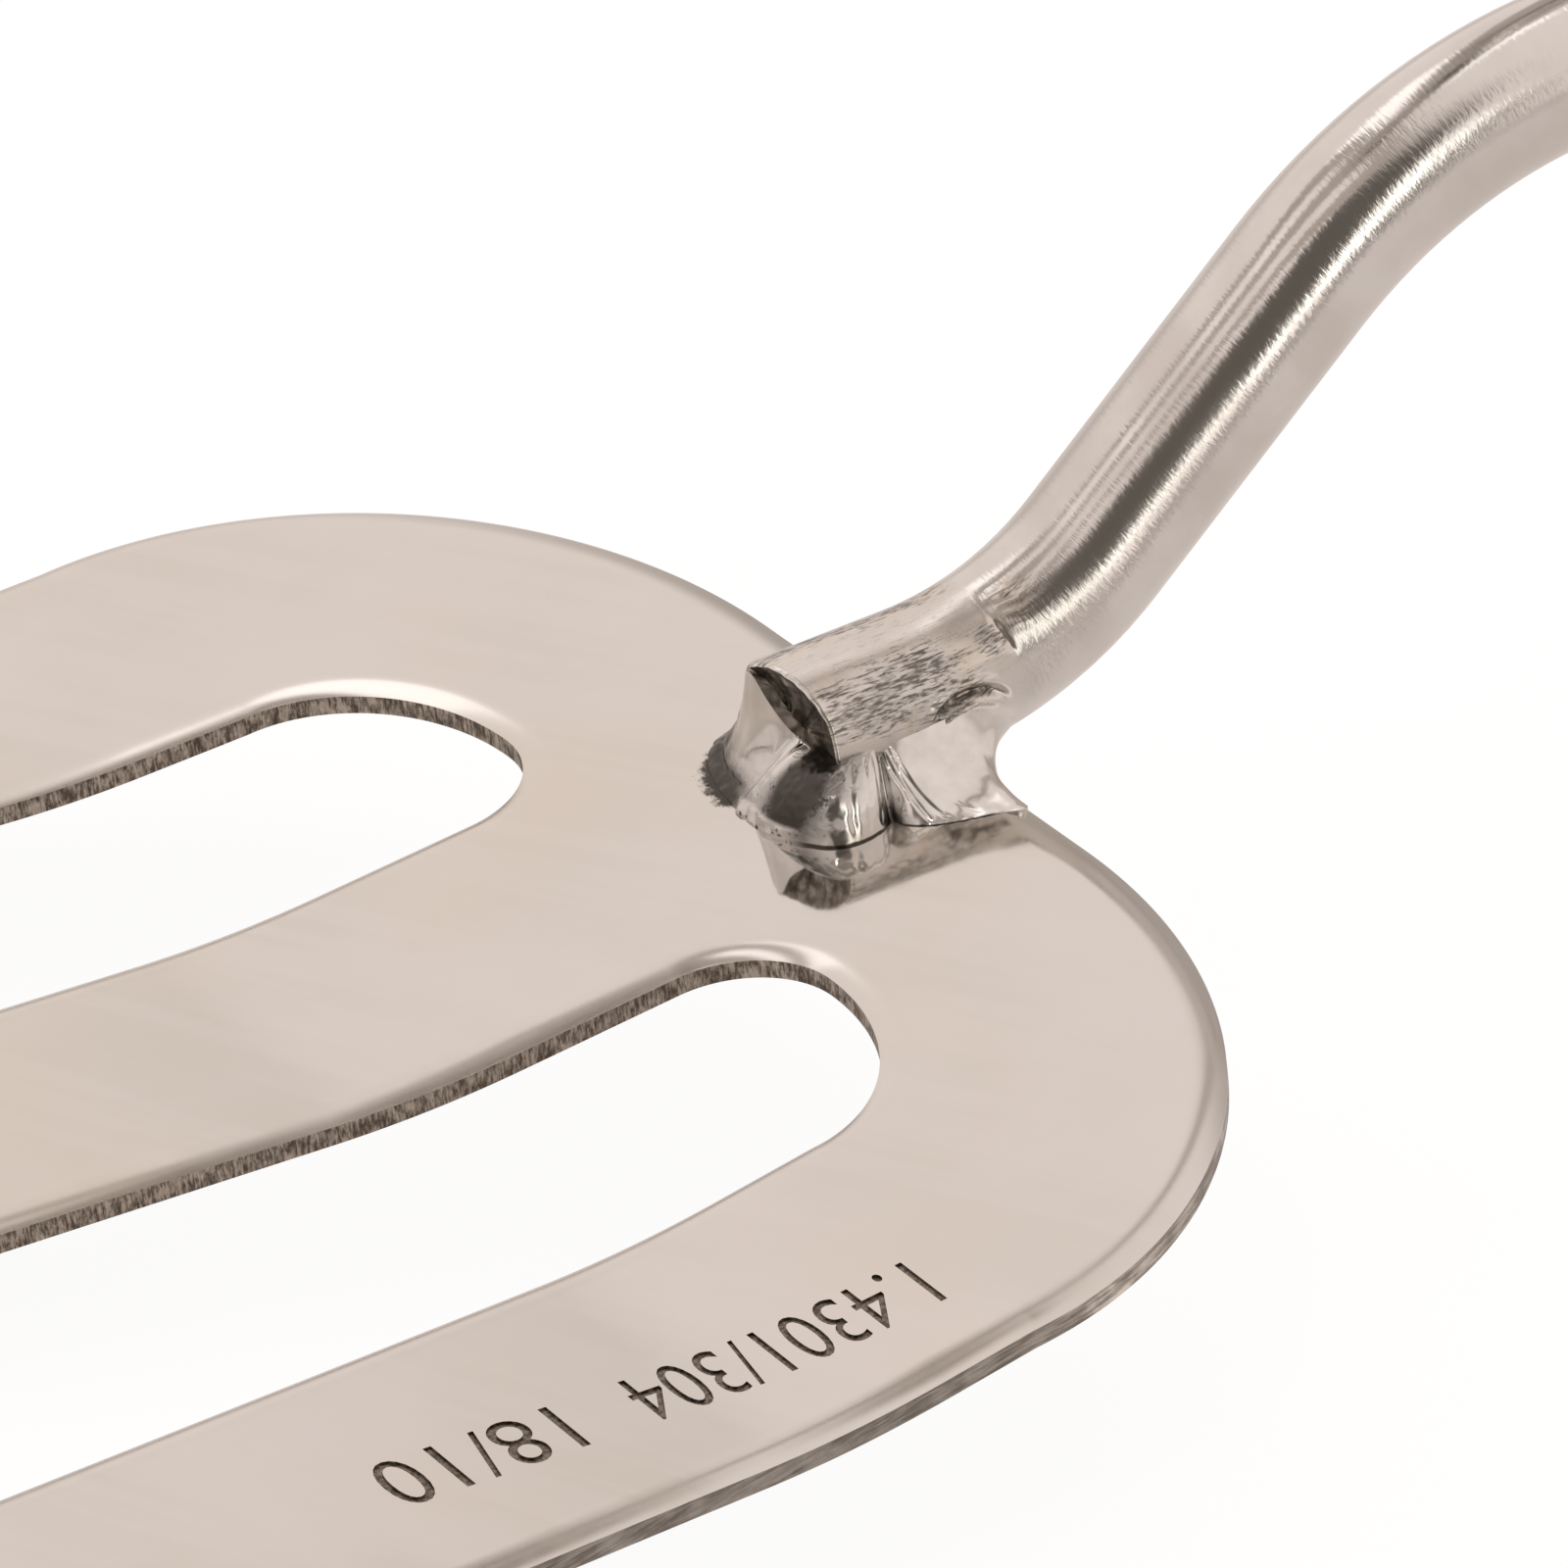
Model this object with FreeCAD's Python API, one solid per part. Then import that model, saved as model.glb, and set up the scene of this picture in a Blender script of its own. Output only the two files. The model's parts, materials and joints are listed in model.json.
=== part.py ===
"""Frame grip: comb tongs that lift a comb frame out of a hive.

Two equal halves cross at a bolt, like scissors.  Each half is a round steel arm, bent out of one
rod, with a slotted jaw plate welded to its front end.  The tool lies half open on a flat surface,
on the tine tips of its lower jaw and on the end of its lower handle.

Half frame, in which one half is drawn: origin at the middle of the plate's rear edge, on the
inner face that carries the rod; +X to the handles, +Y to the far side, +Z out of the inner face.
Tool frame, in which the parts are written: +X to the handles, +Z up, the middle of the base at 0.
"""
import FreeCAD, Part
import math
import os

# Jaw plate, millimetres and degrees
PLATE_THICKNESS = 1.5
PLATE_HALF_WIDTH = 44.3
PLATE_REACH = 115.0
REAR_EDGE_HALF = 13.8
REAR_CORNER_DEPTH = 24.7
PLATE_BEND_START = 30.0
PLATE_BEND_RADIUS = 72.0
PLATE_BEND = 8.4
TINE_SPLAY = 4.6
TIP_RADIUS = 7.0

# Slots between the tines
SLOT_START = 15.5
CENTRE_TINE_HALF = 9.1
SLOT_REAR_WIDTH = 16.2
SLOT_INNER_CORNER = (5.5, 5.2)
SLOT_OUTER_CORNER = (8.6, 11.0)

# Arm, bent out of one round rod
ROD_DIAMETER = 8.0
STUB_LENGTH = 8.6
STUB_OFFSET = 0.45
STUB_SEAT_DEPTH = 0.95
STUB_YAW = 5.6
FRONT_BEND_START = -0.6
FRONT_BEND_RADIUS = 17.0
FRONT_BEND = 39.5
SHANK_LENGTH = 16.7
BACK_BEND_RADIUS = 27.0
ARM_RISE = 3.4
SIDE_BEND_RADIUS = 30.0
BEND_TO_PIVOT = 24.0
PIVOT_TO_HANDLE_BEND = 16.0
HANDLE_BEND_RADIUS = 45.0
HANDLE_BEND = 20.0
HANDLE_SHANK_LENGTH = 38.0
GRIP_BEND_RADIUS = 60.0
GRIP_BEND_BACK = 21.0
GRIP_LENGTH = 80.0

# Gap between the two arms where they pass each other
ARM_GAP = 0.3

# Pivot joint
BOLT_DIAMETER = 6.0
BOLT_CLEARANCE = 0.05
EYE_THICKNESS = 5.0
EYE_WALL = 3.95
EYE_FLAT_MARGIN = 3.0
EYE_SHOULDER = 3.0
FRICTION_WASHER_THICKNESS = 1.0
FACE_CLEARANCE = 0.02
WASHER_WIDTH = 3.0
WASHER_THICKNESS = 1.6
HEX_WALL = 2.0
HEAD_HEIGHT = 4.0
NUT_HEIGHT = 5.0
COLLAR_HEIGHT = 3.0
COLLAR_WALL = 0.6
INSERT_WALL = 0.8
BOLT_POINT = 1.5

# Weld beads round the stub
WELD_FRONT = 3.2
WELD_SIDE = 3.0
WELD_HEIGHT = 4.2
WELD_OVERHANG = 0.3
HEEL_RADIUS = 1.3

# Angle between the two jaw plates as the tool lies on its surface
JAW_OPENING = 25.0

ROD_RADIUS = ROD_DIAMETER / 2.0
BOLT_RADIUS = BOLT_DIAMETER / 2.0
ARM_SIDE = ROD_RADIUS + ARM_GAP / 2.0
STUB_HEIGHT = ROD_RADIUS - STUB_SEAT_DEPTH
HEEL_HALF_WIDTH = math.sqrt(ROD_RADIUS ** 2 - STUB_HEIGHT ** 2)
WASHER_RADIUS = BOLT_RADIUS + WASHER_WIDTH
HEX_ACROSS_FLATS = BOLT_DIAMETER + 2 * HEX_WALL
INSERT_RADIUS = BOLT_RADIUS + INSERT_WALL
COLLAR_RADIUS = INSERT_RADIUS + COLLAR_WALL
EYE_RADIUS = BOLT_RADIUS + BOLT_CLEARANCE + EYE_WALL
EYE_FLAT_HALF = WASHER_RADIUS + EYE_FLAT_MARGIN
EYE_INNER = FRICTION_WASHER_THICKNESS / 2.0
EYE_OUTER = EYE_INNER + EYE_THICKNESS
Y_AXIS = FreeCAD.Vector(0, 1, 0)
LARGE = 400.0


def vec(x, y, z=0.0):
    """Short name for a FreeCAD vector."""
    return FreeCAD.Vector(x, y, z)


class RodPath:
    """A rod's centre line, drawn one straight run or one bend at a time."""

    def __init__(self, start, yaw):
        """Start at a point, level, turned by yaw degrees towards the near side."""
        turn = math.radians(-yaw)
        self.point = start
        self.forward = vec(math.cos(turn), math.sin(turn))
        self.left = vec(-math.sin(turn), math.cos(turn))
        self.up = vec(0, 0, 1)
        self.edges = []

    def run(self, length):
        """Add a straight run."""
        end = self.point + self.forward * length
        self.edges.append(Part.makeLine(self.point, end))
        self.point = end

    def _bend(self, side, radius, degrees):
        """Add an arc towards the unit vector side, and return the turned forward vector."""
        sense = math.copysign(1.0, degrees)
        angle = math.radians(abs(degrees))
        towards = side * sense
        centre = self.point + towards * radius

        def at(turn):
            return centre - towards * (radius * math.cos(turn)) + self.forward * (radius * math.sin(turn))

        self.edges.append(Part.Arc(self.point, at(angle / 2.0), at(angle)).toShape())
        self.point = at(angle)
        return self.forward * math.cos(angle) + towards * math.sin(angle)

    def bend_up(self, radius, degrees):
        """Add a bend that lifts the path, or lowers it when degrees is negative."""
        self.forward = self._bend(self.up, radius, degrees)
        self.up = self.forward.cross(self.left)

    def bend_left(self, radius, degrees):
        """Add a bend towards the far side, or the near side when degrees is negative."""
        self.forward = self._bend(self.left, radius, degrees)
        self.left = self.up.cross(self.forward)

    def solid(self, start, forward):
        """Sweep the rod's round section along the path."""
        section = Part.Wire([Part.makeCircle(ROD_RADIUS, start, forward)])
        return Part.Wire(self.edges).makePipeShell([section], True, True)


def side_turn_length():
    """Distance in plan from the stub's end to the side bend that sets the arm parallel to X."""
    corner = (ARM_SIDE - STUB_OFFSET) / math.tan(math.radians(STUB_YAW))
    return corner - SIDE_BEND_RADIUS * math.tan(math.radians(STUB_YAW) / 2.0)


def arm_layout():
    """Draw the arm's centre line in the half frame.

    Returns the path, the stub's end and heading, the pivot point and the handle's end.
    """
    yaw = math.radians(STUB_YAW)
    root = vec(0, -STUB_OFFSET, STUB_HEIGHT)
    heading = vec(math.cos(yaw), -math.sin(yaw))
    start = root - heading * STUB_LENGTH
    path = RodPath(start, STUB_YAW)
    path.run(STUB_LENGTH + FRONT_BEND_START)
    path.bend_up(FRONT_BEND_RADIUS, FRONT_BEND)
    path.run(SHANK_LENGTH)
    path.bend_up(BACK_BEND_RADIUS, ARM_RISE - FRONT_BEND)
    in_plan = math.hypot(path.point.x - root.x, path.point.y - root.y)
    remaining = side_turn_length() - in_plan
    if remaining > 0:
        path.run(remaining / math.cos(math.radians(ARM_RISE)))
    path.bend_left(SIDE_BEND_RADIUS, STUB_YAW)
    path.run(BEND_TO_PIVOT)
    pivot = path.point
    path.run(PIVOT_TO_HANDLE_BEND)
    path.bend_up(HANDLE_BEND_RADIUS, HANDLE_BEND)
    path.run(HANDLE_SHANK_LENGTH)
    path.bend_up(GRIP_BEND_RADIUS, -GRIP_BEND_BACK)
    path.run(GRIP_LENGTH)
    return path, start, heading, pivot


def quarter_ellipse(centre, radius_x, radius_y, start_degrees):
    """Quarter of an ellipse in the XY plane, anticlockwise from start_degrees."""
    def unit(degrees):
        return vec(math.cos(math.radians(degrees)), math.sin(math.radians(degrees)))

    arc = Part.Arc(unit(start_degrees), unit(start_degrees + 45), unit(start_degrees + 90)).toShape()
    scale = FreeCAD.Matrix()
    scale.A11 = radius_x
    scale.A22 = radius_y
    scale.A14 = centre.x
    scale.A24 = centre.y
    return arc.transformGeometry(scale)


def prism(edges, height):
    """Extrude a closed outline both ways through the XY plane."""
    wire = Part.Wire(Part.__sortEdges__(edges))
    face = Part.Face(wire)
    face.translate(vec(0, 0, -height))
    return face.extrude(vec(0, 0, 2 * height))


def splayed(y, x_from, x_to):
    """The y of an edge that splays outwards, from x_from back to x_to."""
    return y + (x_from - x_to) * math.tan(math.radians(TINE_SPLAY))


def plate_outline():
    """Outer outline of the jaw plate, as a prism with rounded rear corners and splayed sides."""
    corner_width = PLATE_HALF_WIDTH - REAR_EDGE_HALF
    tip = -PLATE_REACH
    edges = [Part.makeLine(vec(0, -REAR_EDGE_HALF), vec(0, REAR_EDGE_HALF))]
    for side in (1, -1):
        centre = vec(-REAR_CORNER_DEPTH, side * REAR_EDGE_HALF)
        start = 0 if side > 0 else -90
        edges.append(quarter_ellipse(centre, REAR_CORNER_DEPTH, corner_width, start))
        corner = vec(tip, side * splayed(PLATE_HALF_WIDTH, -REAR_CORNER_DEPTH, tip))
        edges.append(Part.makeLine(vec(-REAR_CORNER_DEPTH, side * PLATE_HALF_WIDTH), corner))
    tip_half = splayed(PLATE_HALF_WIDTH, -REAR_CORNER_DEPTH, tip)
    edges.append(Part.makeLine(vec(tip, -tip_half), vec(tip, tip_half)))
    return prism(edges, LARGE)


def slot_cutter(side):
    """Prism that cuts one slot, open at the tips; side is 1 for the far slot, -1 for the near."""
    inner_depth, inner_width = SLOT_INNER_CORNER
    outer_depth, outer_width = SLOT_OUTER_CORNER
    inner = CENTRE_TINE_HALF
    outer = CENTRE_TINE_HALF + SLOT_REAR_WIDTH
    rear = -SLOT_START
    end = -PLATE_REACH - 10.0
    end_outer = splayed(outer, rear - outer_depth, end)
    points = [vec(end, side * inner), vec(rear - inner_depth, side * inner)]
    edges = [Part.makeLine(*points)]
    inner_centre = vec(rear - inner_depth, side * (inner + inner_width))
    edges.append(quarter_ellipse(inner_centre, inner_depth, inner_width, -90 if side > 0 else 0))
    outer_centre = vec(rear - outer_depth, side * (outer - outer_width))
    edges.append(quarter_ellipse(outer_centre, outer_depth, outer_width, 0 if side > 0 else -90))
    rear_ends = [vec(rear, side * (inner + inner_width)), vec(rear, side * (outer - outer_width))]
    if rear_ends[0].distanceToPoint(rear_ends[1]) > 1e-6:
        edges.append(Part.makeLine(*rear_ends))
    edges.append(Part.makeLine(vec(rear - outer_depth, side * outer), vec(end, side * end_outer)))
    edges.append(Part.makeLine(vec(end, side * end_outer), vec(end, side * inner)))
    return prism(edges, LARGE)


def plate_slab():
    """The plate's side profile, bent towards the rod side, drawn through the full width."""
    bend = math.radians(PLATE_BEND)

    def at(angle, along, offset):
        """Point on a face: bend angle reached, distance past the bend, offset below the inner face."""
        radius = PLATE_BEND_RADIUS + offset
        x = -PLATE_BEND_START - radius * math.sin(angle) - along * math.cos(angle)
        z = PLATE_BEND_RADIUS - radius * math.cos(angle) + along * math.sin(angle)
        return vec(x, 0, z)

    edges = []
    for offset in (0.0, PLATE_THICKNESS):
        bend_end = at(bend, 0.0, offset)
        edges.append(Part.makeLine(vec(0, 0, -offset), at(0.0, 0.0, offset)))
        edges.append(Part.Arc(at(0.0, 0.0, offset), at(bend / 2, 0.0, offset), bend_end).toShape())
        edges.append(Part.makeLine(bend_end, at(bend, PLATE_REACH, offset)))
    edges.append(Part.makeLine(vec(0, 0, 0), vec(0, 0, -PLATE_THICKNESS)))
    edges.append(Part.makeLine(at(bend, PLATE_REACH, 0.0), at(bend, PLATE_REACH, PLATE_THICKNESS)))
    face = Part.Face(Part.Wire(Part.__sortEdges__(edges)))
    face.translate(vec(0, -LARGE, 0))
    return face.extrude(vec(0, 2 * LARGE, 0))


def round_tips(blank):
    """Round the upright edges at the tine tips."""
    corners = []
    for edge in blank.Edges:
        upright = len(edge.Vertexes) == 2 and abs(edge.Vertexes[0].X - edge.Vertexes[1].X) < 1e-6
        if upright and abs(edge.CenterOfMass.x + PLATE_REACH) < 1e-6 and edge.Length > LARGE:
            corners.append(edge)
    return blank.makeFillet(TIP_RADIUS, corners)


def jaw_plate():
    """Sheet jaw with three splayed tines, bent towards the rod side ahead of the slots' ends."""
    blank = plate_outline().cut(slot_cutter(1)).cut(slot_cutter(-1))
    return round_tips(blank).common(plate_slab())


def eye_slab(pivot):
    """The space outside the flattened eye: two trapezoid prisms, one on each side of the arm."""
    reach = ROD_DIAMETER + EYE_SHOULDER
    cutters = []
    for face_y, away in ((-EYE_OUTER, -1), (-EYE_INNER, 1)):
        corners = [
            vec(pivot.x - EYE_FLAT_HALF, face_y),
            vec(pivot.x + EYE_FLAT_HALF, face_y),
            vec(pivot.x + EYE_FLAT_HALF + reach, face_y + away * reach),
            vec(pivot.x - EYE_FLAT_HALF - reach, face_y + away * reach),
        ]
        face = Part.Face(Part.makePolygon(corners + corners[:1]))
        face.translate(vec(0, 0, pivot.z - ROD_DIAMETER))
        cutters.append(face.extrude(vec(0, 0, 2 * ROD_DIAMETER)))
    return cutters[0].fuse(cutters[1])


def arm_rod(path, start, heading, pivot):
    """The arm: swept rod, ground flat under the stub, pressed to an eye, round at the handle end."""
    rod = path.solid(start, heading)
    rod = rod.fuse(Part.makeSphere(ROD_RADIUS, path.point))
    below = Part.makeBox(LARGE, LARGE, LARGE, vec(-LARGE / 2, -LARGE / 2, -LARGE))
    rod = rod.cut(below).cut(eye_slab(pivot))
    eye = Part.makeCylinder(EYE_RADIUS, EYE_THICKNESS, vec(pivot.x, -EYE_OUTER, pivot.z), Y_AXIS)
    bore = BOLT_RADIUS + BOLT_CLEARANCE
    hole = Part.makeCylinder(bore, LARGE, vec(pivot.x, -LARGE / 2, pivot.z), Y_AXIS)
    return rod.fuse(eye).cut(hole).removeSplitter()


def weld_beads(rod, start, heading):
    """Weld metal round the stub, as beads that meet the rod and the plate face to face."""
    yaw = -STUB_YAW
    length = STUB_LENGTH + WELD_FRONT
    centre = start + heading * (STUB_LENGTH - length / 2.0)
    pool = Part.makeSphere(1.0)
    scale = FreeCAD.Matrix()
    scale.A11 = length / 2.0 + WELD_SIDE
    scale.A22 = ROD_RADIUS + WELD_SIDE
    scale.A33 = WELD_HEIGHT
    pool = pool.transformGeometry(scale)
    pool.rotate(vec(0, 0, 0), vec(0, 0, 1), yaw)
    pool.translate(vec(centre.x, centre.y))
    above = Part.makeBox(LARGE, LARGE, LARGE, vec(WELD_OVERHANG - LARGE, -LARGE / 2, 0))
    pool = pool.common(above).cut(rod)

    def region(x_from, x_to, y_from, y_to):
        """Part of the pool in a box drawn in the stub's own direction."""
        box = Part.makeBox(x_to - x_from, y_to - y_from, LARGE, vec(x_from, y_from, -LARGE / 2))
        box.rotate(vec(0, 0, 0), vec(0, 0, 1), yaw)
        box.translate(vec(start.x, start.y))
        return pool.common(box)

    heel_end = vec(0, -STUB_OFFSET - HEEL_HALF_WIDTH, 0)
    heel = Part.makeCylinder(HEEL_RADIUS, 2 * HEEL_HALF_WIDTH, heel_end, Y_AXIS)
    outside = Part.makeBox(LARGE, LARGE, LARGE, vec(0, -LARGE / 2, -LARGE))
    return {
        "weld_end": region(-LARGE / 4, 0, -LARGE / 4, LARGE / 4),
        "weld_near": region(0, LARGE / 4, -LARGE / 4, 0),
        "weld_far": region(0, LARGE / 4, 0, LARGE / 4),
        "weld_heel": heel.common(outside).cut(rod),
    }


def half_parts(path, start, heading, pivot):
    """All the solids of one half, in the half frame."""
    rod = arm_rod(path, start, heading, pivot)
    parts = {"jaw_plate": jaw_plate(), "arm_rod": rod}
    parts.update(weld_beads(rod, start, heading))
    return parts


def ring(outer, inner, y, thickness):
    """Round washer about the Y axis."""
    disc = Part.makeCylinder(outer, thickness, vec(0, y, 0), Y_AXIS)
    return disc.cut(Part.makeCylinder(inner, thickness, vec(0, y, 0), Y_AXIS))


def hexagon(across_flats, y, height):
    """Hexagonal prism about the Y axis."""
    radius = across_flats / math.sqrt(3.0)
    corners = [vec(radius * math.cos(math.radians(60 * k)), y, radius * math.sin(math.radians(60 * k)))
               for k in range(7)]
    return Part.Face(Part.makePolygon(corners)).extrude(vec(0, height, 0))


def pivot_parts():
    """Bolt, washers and lock nut, drawn about the Y axis; they stay with the lower half."""
    near_face = -EYE_OUTER
    far_washer = EYE_OUTER + 2 * FACE_CLEARANCE
    nut_start = far_washer + WASHER_THICKNESS
    nut_end = nut_start + NUT_HEIGHT + COLLAR_HEIGHT
    head_start = near_face - WASHER_THICKNESS - HEAD_HEIGHT
    shank_start = head_start + HEAD_HEIGHT
    shank_length = nut_end + BOLT_POINT - shank_start
    shank = Part.makeCylinder(BOLT_RADIUS, shank_length, vec(0, shank_start, 0), Y_AXIS)
    nut = hexagon(HEX_ACROSS_FLATS, nut_start, NUT_HEIGHT)
    seat_start = nut_start + NUT_HEIGHT
    nut = nut.fuse(Part.makeCylinder(COLLAR_RADIUS, COLLAR_HEIGHT, vec(0, seat_start, 0), Y_AXIS))
    nut = nut.cut(Part.makeCylinder(BOLT_RADIUS, NUT_HEIGHT, vec(0, nut_start, 0), Y_AXIS))
    nut = nut.cut(Part.makeCylinder(INSERT_RADIUS, COLLAR_HEIGHT, vec(0, seat_start, 0), Y_AXIS))
    washer_bore = BOLT_RADIUS + BOLT_CLEARANCE
    return {
        "pivot_bolt": hexagon(HEX_ACROSS_FLATS, head_start, HEAD_HEIGHT).fuse(shank),
        "head_washer": ring(WASHER_RADIUS, washer_bore, near_face - WASHER_THICKNESS, WASHER_THICKNESS),
        "friction_washer": ring(WASHER_RADIUS, washer_bore, -EYE_INNER, FRICTION_WASHER_THICKNESS),
        "nut_washer": ring(WASHER_RADIUS, washer_bore, far_washer, WASHER_THICKNESS),
        "lock_nut": nut,
        "nylon_insert": ring(INSERT_RADIUS, BOLT_RADIUS, seat_start, COLLAR_HEIGHT),
    }


def turned(point, pivot, degrees):
    """A point turned about the pivot's Y axis; positive lifts what is ahead of the pivot."""
    turn = FreeCAD.Rotation(Y_AXIS, degrees)
    return pivot + turn.multVec(point - pivot)


def lying_pitch(pivot, handle_end):
    """Pitch of the lower jaw's root as the tool lies on its tine tips and its lower handle."""
    bend = math.radians(PLATE_BEND)
    outer_radius = PLATE_BEND_RADIUS + PLATE_THICKNESS
    past_bend = (PLATE_REACH - PLATE_BEND_START - outer_radius * math.sin(bend)) / math.cos(bend)
    tip_z = PLATE_BEND_RADIUS - outer_radius * math.cos(bend) + past_bend * math.sin(bend)
    tip = vec(-PLATE_REACH, 0, tip_z)
    mirrored = vec(handle_end.x, -handle_end.y, 2 * pivot.z - handle_end.z)
    lower_handle = turned(mirrored, vec(pivot.x, 0, pivot.z), JAW_OPENING)
    run = math.hypot(lower_handle.x - tip.x, lower_handle.z - tip.z)
    fall = math.atan2(tip.z - lower_handle.z, lower_handle.x - tip.x)
    return math.degrees(fall + math.asin(ROD_RADIUS / run))


def placed(shape, pivot, pitch, upper):
    """A half or pivot solid, set into the pitched tool frame before the base is centred."""
    part = shape.copy()
    axis_point = vec(pivot.x, 0, pivot.z)
    if upper:
        part.rotate(axis_point, vec(1, 0, 0), 180)
        part.translate(vec(0, FACE_CLEARANCE, 0))
        part.rotate(axis_point, Y_AXIS, JAW_OPENING)
    part.rotate(vec(0, 0, 0), Y_AXIS, -pitch)
    return part


def build():
    """Draw every part in the tool frame, with the origin at the middle of the base."""
    path, start, heading, pivot = arm_layout()
    pitch = lying_pitch(pivot, path.point)
    parts = {}
    for name, shape in half_parts(path, start, heading, pivot).items():
        parts["lower_" + name] = placed(shape, pivot, pitch, False)
        parts["upper_" + name] = placed(shape, pivot, pitch, True)
    for name, shape in pivot_parts().items():
        shape.translate(vec(pivot.x, 0, pivot.z))
        parts[name] = placed(shape, pivot, pitch, False)
    box = Part.makeCompound(list(parts.values())).optimalBoundingBox(False, False)
    shift = vec(-(box.XMin + box.XMax) / 2, -(box.YMin + box.YMax) / 2, -box.ZMin)
    for shape in parts.values():
        shape.translate(shift)
    marks = {"pivot": vec(pivot.x, 0, pivot.z), "root": vec(0, 0, 0), "pitch": pitch}
    for name in ("pivot", "root"):
        marks[name] = FreeCAD.Rotation(Y_AXIS, -pitch).multVec(marks[name]) + shift
    return parts, marks, box


def main():
    """Write one STEP file for each part and print the places that the record states."""
    os.makedirs("parts", exist_ok=True)
    parts, marks, box = build()
    for name, shape in parts.items():
        shape.exportStep("parts/" + name + ".step")
        print(name, "solids", len(shape.Solids), "valid", shape.isValid(), "volume", round(shape.Volume, 2))
    print("size", round(box.XLength, 2), round(box.YLength, 2), round(box.ZLength, 2))
    for name, value in marks.items():
        print(name, value)


if __name__ == "__main__":
    main()
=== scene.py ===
"""Looks of a beekeeper's frame grip: two crossed steel halves that turn on one bolt.

Each half is drawn once in its own half frame, in millimetres: origin at the middle of the jaw
plate's rear edge, on the inner face that carries the rod, +X to the handles, +Y to the far side and
+Z out of the inner face.  A half's matrix then sets it into the tool frame, in metres.
"""
import json
import logging
import math
from dataclasses import dataclass, field
from enum import Enum
from typing import Iterable, Sequence

import bmesh
import bpy
from mathutils import Matrix, Vector, noise


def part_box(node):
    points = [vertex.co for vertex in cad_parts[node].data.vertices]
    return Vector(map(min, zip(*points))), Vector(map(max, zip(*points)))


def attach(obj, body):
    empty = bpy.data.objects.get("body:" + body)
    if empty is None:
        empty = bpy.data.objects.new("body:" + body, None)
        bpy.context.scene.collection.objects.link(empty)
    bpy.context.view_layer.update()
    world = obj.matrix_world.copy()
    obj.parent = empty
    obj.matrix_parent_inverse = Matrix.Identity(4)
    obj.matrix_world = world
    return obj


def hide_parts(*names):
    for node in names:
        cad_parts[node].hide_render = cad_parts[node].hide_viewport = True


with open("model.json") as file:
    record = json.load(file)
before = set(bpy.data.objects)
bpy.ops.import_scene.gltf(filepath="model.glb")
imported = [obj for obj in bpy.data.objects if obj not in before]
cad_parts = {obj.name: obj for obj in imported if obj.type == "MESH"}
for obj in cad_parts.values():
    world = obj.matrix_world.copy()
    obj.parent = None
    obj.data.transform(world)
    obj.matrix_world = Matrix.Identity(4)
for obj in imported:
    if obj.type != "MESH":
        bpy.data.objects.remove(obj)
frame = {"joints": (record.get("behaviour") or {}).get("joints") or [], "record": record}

LOG = logging.getLogger("frame_grip")
MM = 0.001
AREA_WEIGHT = 80
JAW_SHARP, ARM_SHARP, EYE_SHARP, WELD_SHARP = 35.0, 50.0, 40.0, 60.0
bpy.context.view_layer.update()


class Side(Enum):
    """The two halves of the tool, named by where their jaw lies; the value is the far side's sense."""

    LOWER = 1
    UPPER = -1


@dataclass(frozen=True)
class Half:
    """One half of the tool: its names, and the matrix from its half frame to the tool frame."""

    side: Side
    matrix: Matrix

    @property
    def name(self) -> str:
        """Word that starts the names of this half's parts."""
        return self.side.name.lower()

    @property
    def body(self) -> str:
        """Name of the body that this half's parts ride on."""
        return self.name + "_half"


def smoothstep(low: float, high: float, value: float) -> float:
    """Ease from 0 at low to 1 at high.

    Args:
        low: Where the step starts; it may be above high, for a falling step.
        high: Where the step ends.
        value: The place to read.

    Returns:
        A share from 0 to 1.
    """
    share = min(max((value - low) / (high - low), 0.0), 1.0)
    return share * share * (3.0 - 2.0 * share)


def mix(a: float, b: float, share: float) -> float:
    """Value between a and b at the given share."""
    return a + (b - a) * share


def bell(offset: float, width: float) -> float:
    """Bell curve that is 1 at no offset."""
    return math.exp(-(offset / width) ** 2)


def window(value: float, rise: tuple[float, float], fall: tuple[float, float]) -> float:
    """Share that eases in over the rise and out over the fall, which is given from 0 to 1."""
    return smoothstep(*rise, value) * smoothstep(*fall, value)


def arc_points(centre: Sequence[float], radii: Sequence[float], start: float, end: float,
               count: int) -> list[Vector]:
    """Points on an ellipse's arc.

    Args:
        centre: Middle of the ellipse.
        radii: Radius along X and along Y.
        start: First angle, in degrees.
        end: Last angle, in degrees.
        count: Number of steps.

    Returns:
        The points from start to end, both included.
    """
    angles = [math.radians(mix(start, end, k / count)) for k in range(count + 1)]
    return [Vector((centre[0] + radii[0] * math.cos(a), centre[1] + radii[1] * math.sin(a)))
            for a in angles]


def rounded_corner(before: Vector, corner: Vector, after: Vector, radius: float,
                   count: int) -> list[Vector]:
    """Round one corner of an outline.

    Args:
        before: A point on the edge that comes in.
        corner: The sharp corner.
        after: A point on the edge that goes out.
        radius: Radius of the round.
        count: Number of steps.

    Returns:
        Points of the round, from the incoming edge to the outgoing one.
    """
    inward = (before - corner).normalized()
    outward = (after - corner).normalized()
    half_angle = inward.angle(outward) / 2.0
    centre = corner + (inward + outward).normalized() * (radius / math.sin(half_angle))
    first = corner + inward * (radius / math.tan(half_angle)) - centre
    last = corner + outward * (radius / math.tan(half_angle)) - centre
    turn = math.atan2(first.x * last.y - first.y * last.x, first.dot(last))
    return [centre + Matrix.Rotation(turn * k / count, 2) @ first for k in range(count + 1)]


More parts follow.
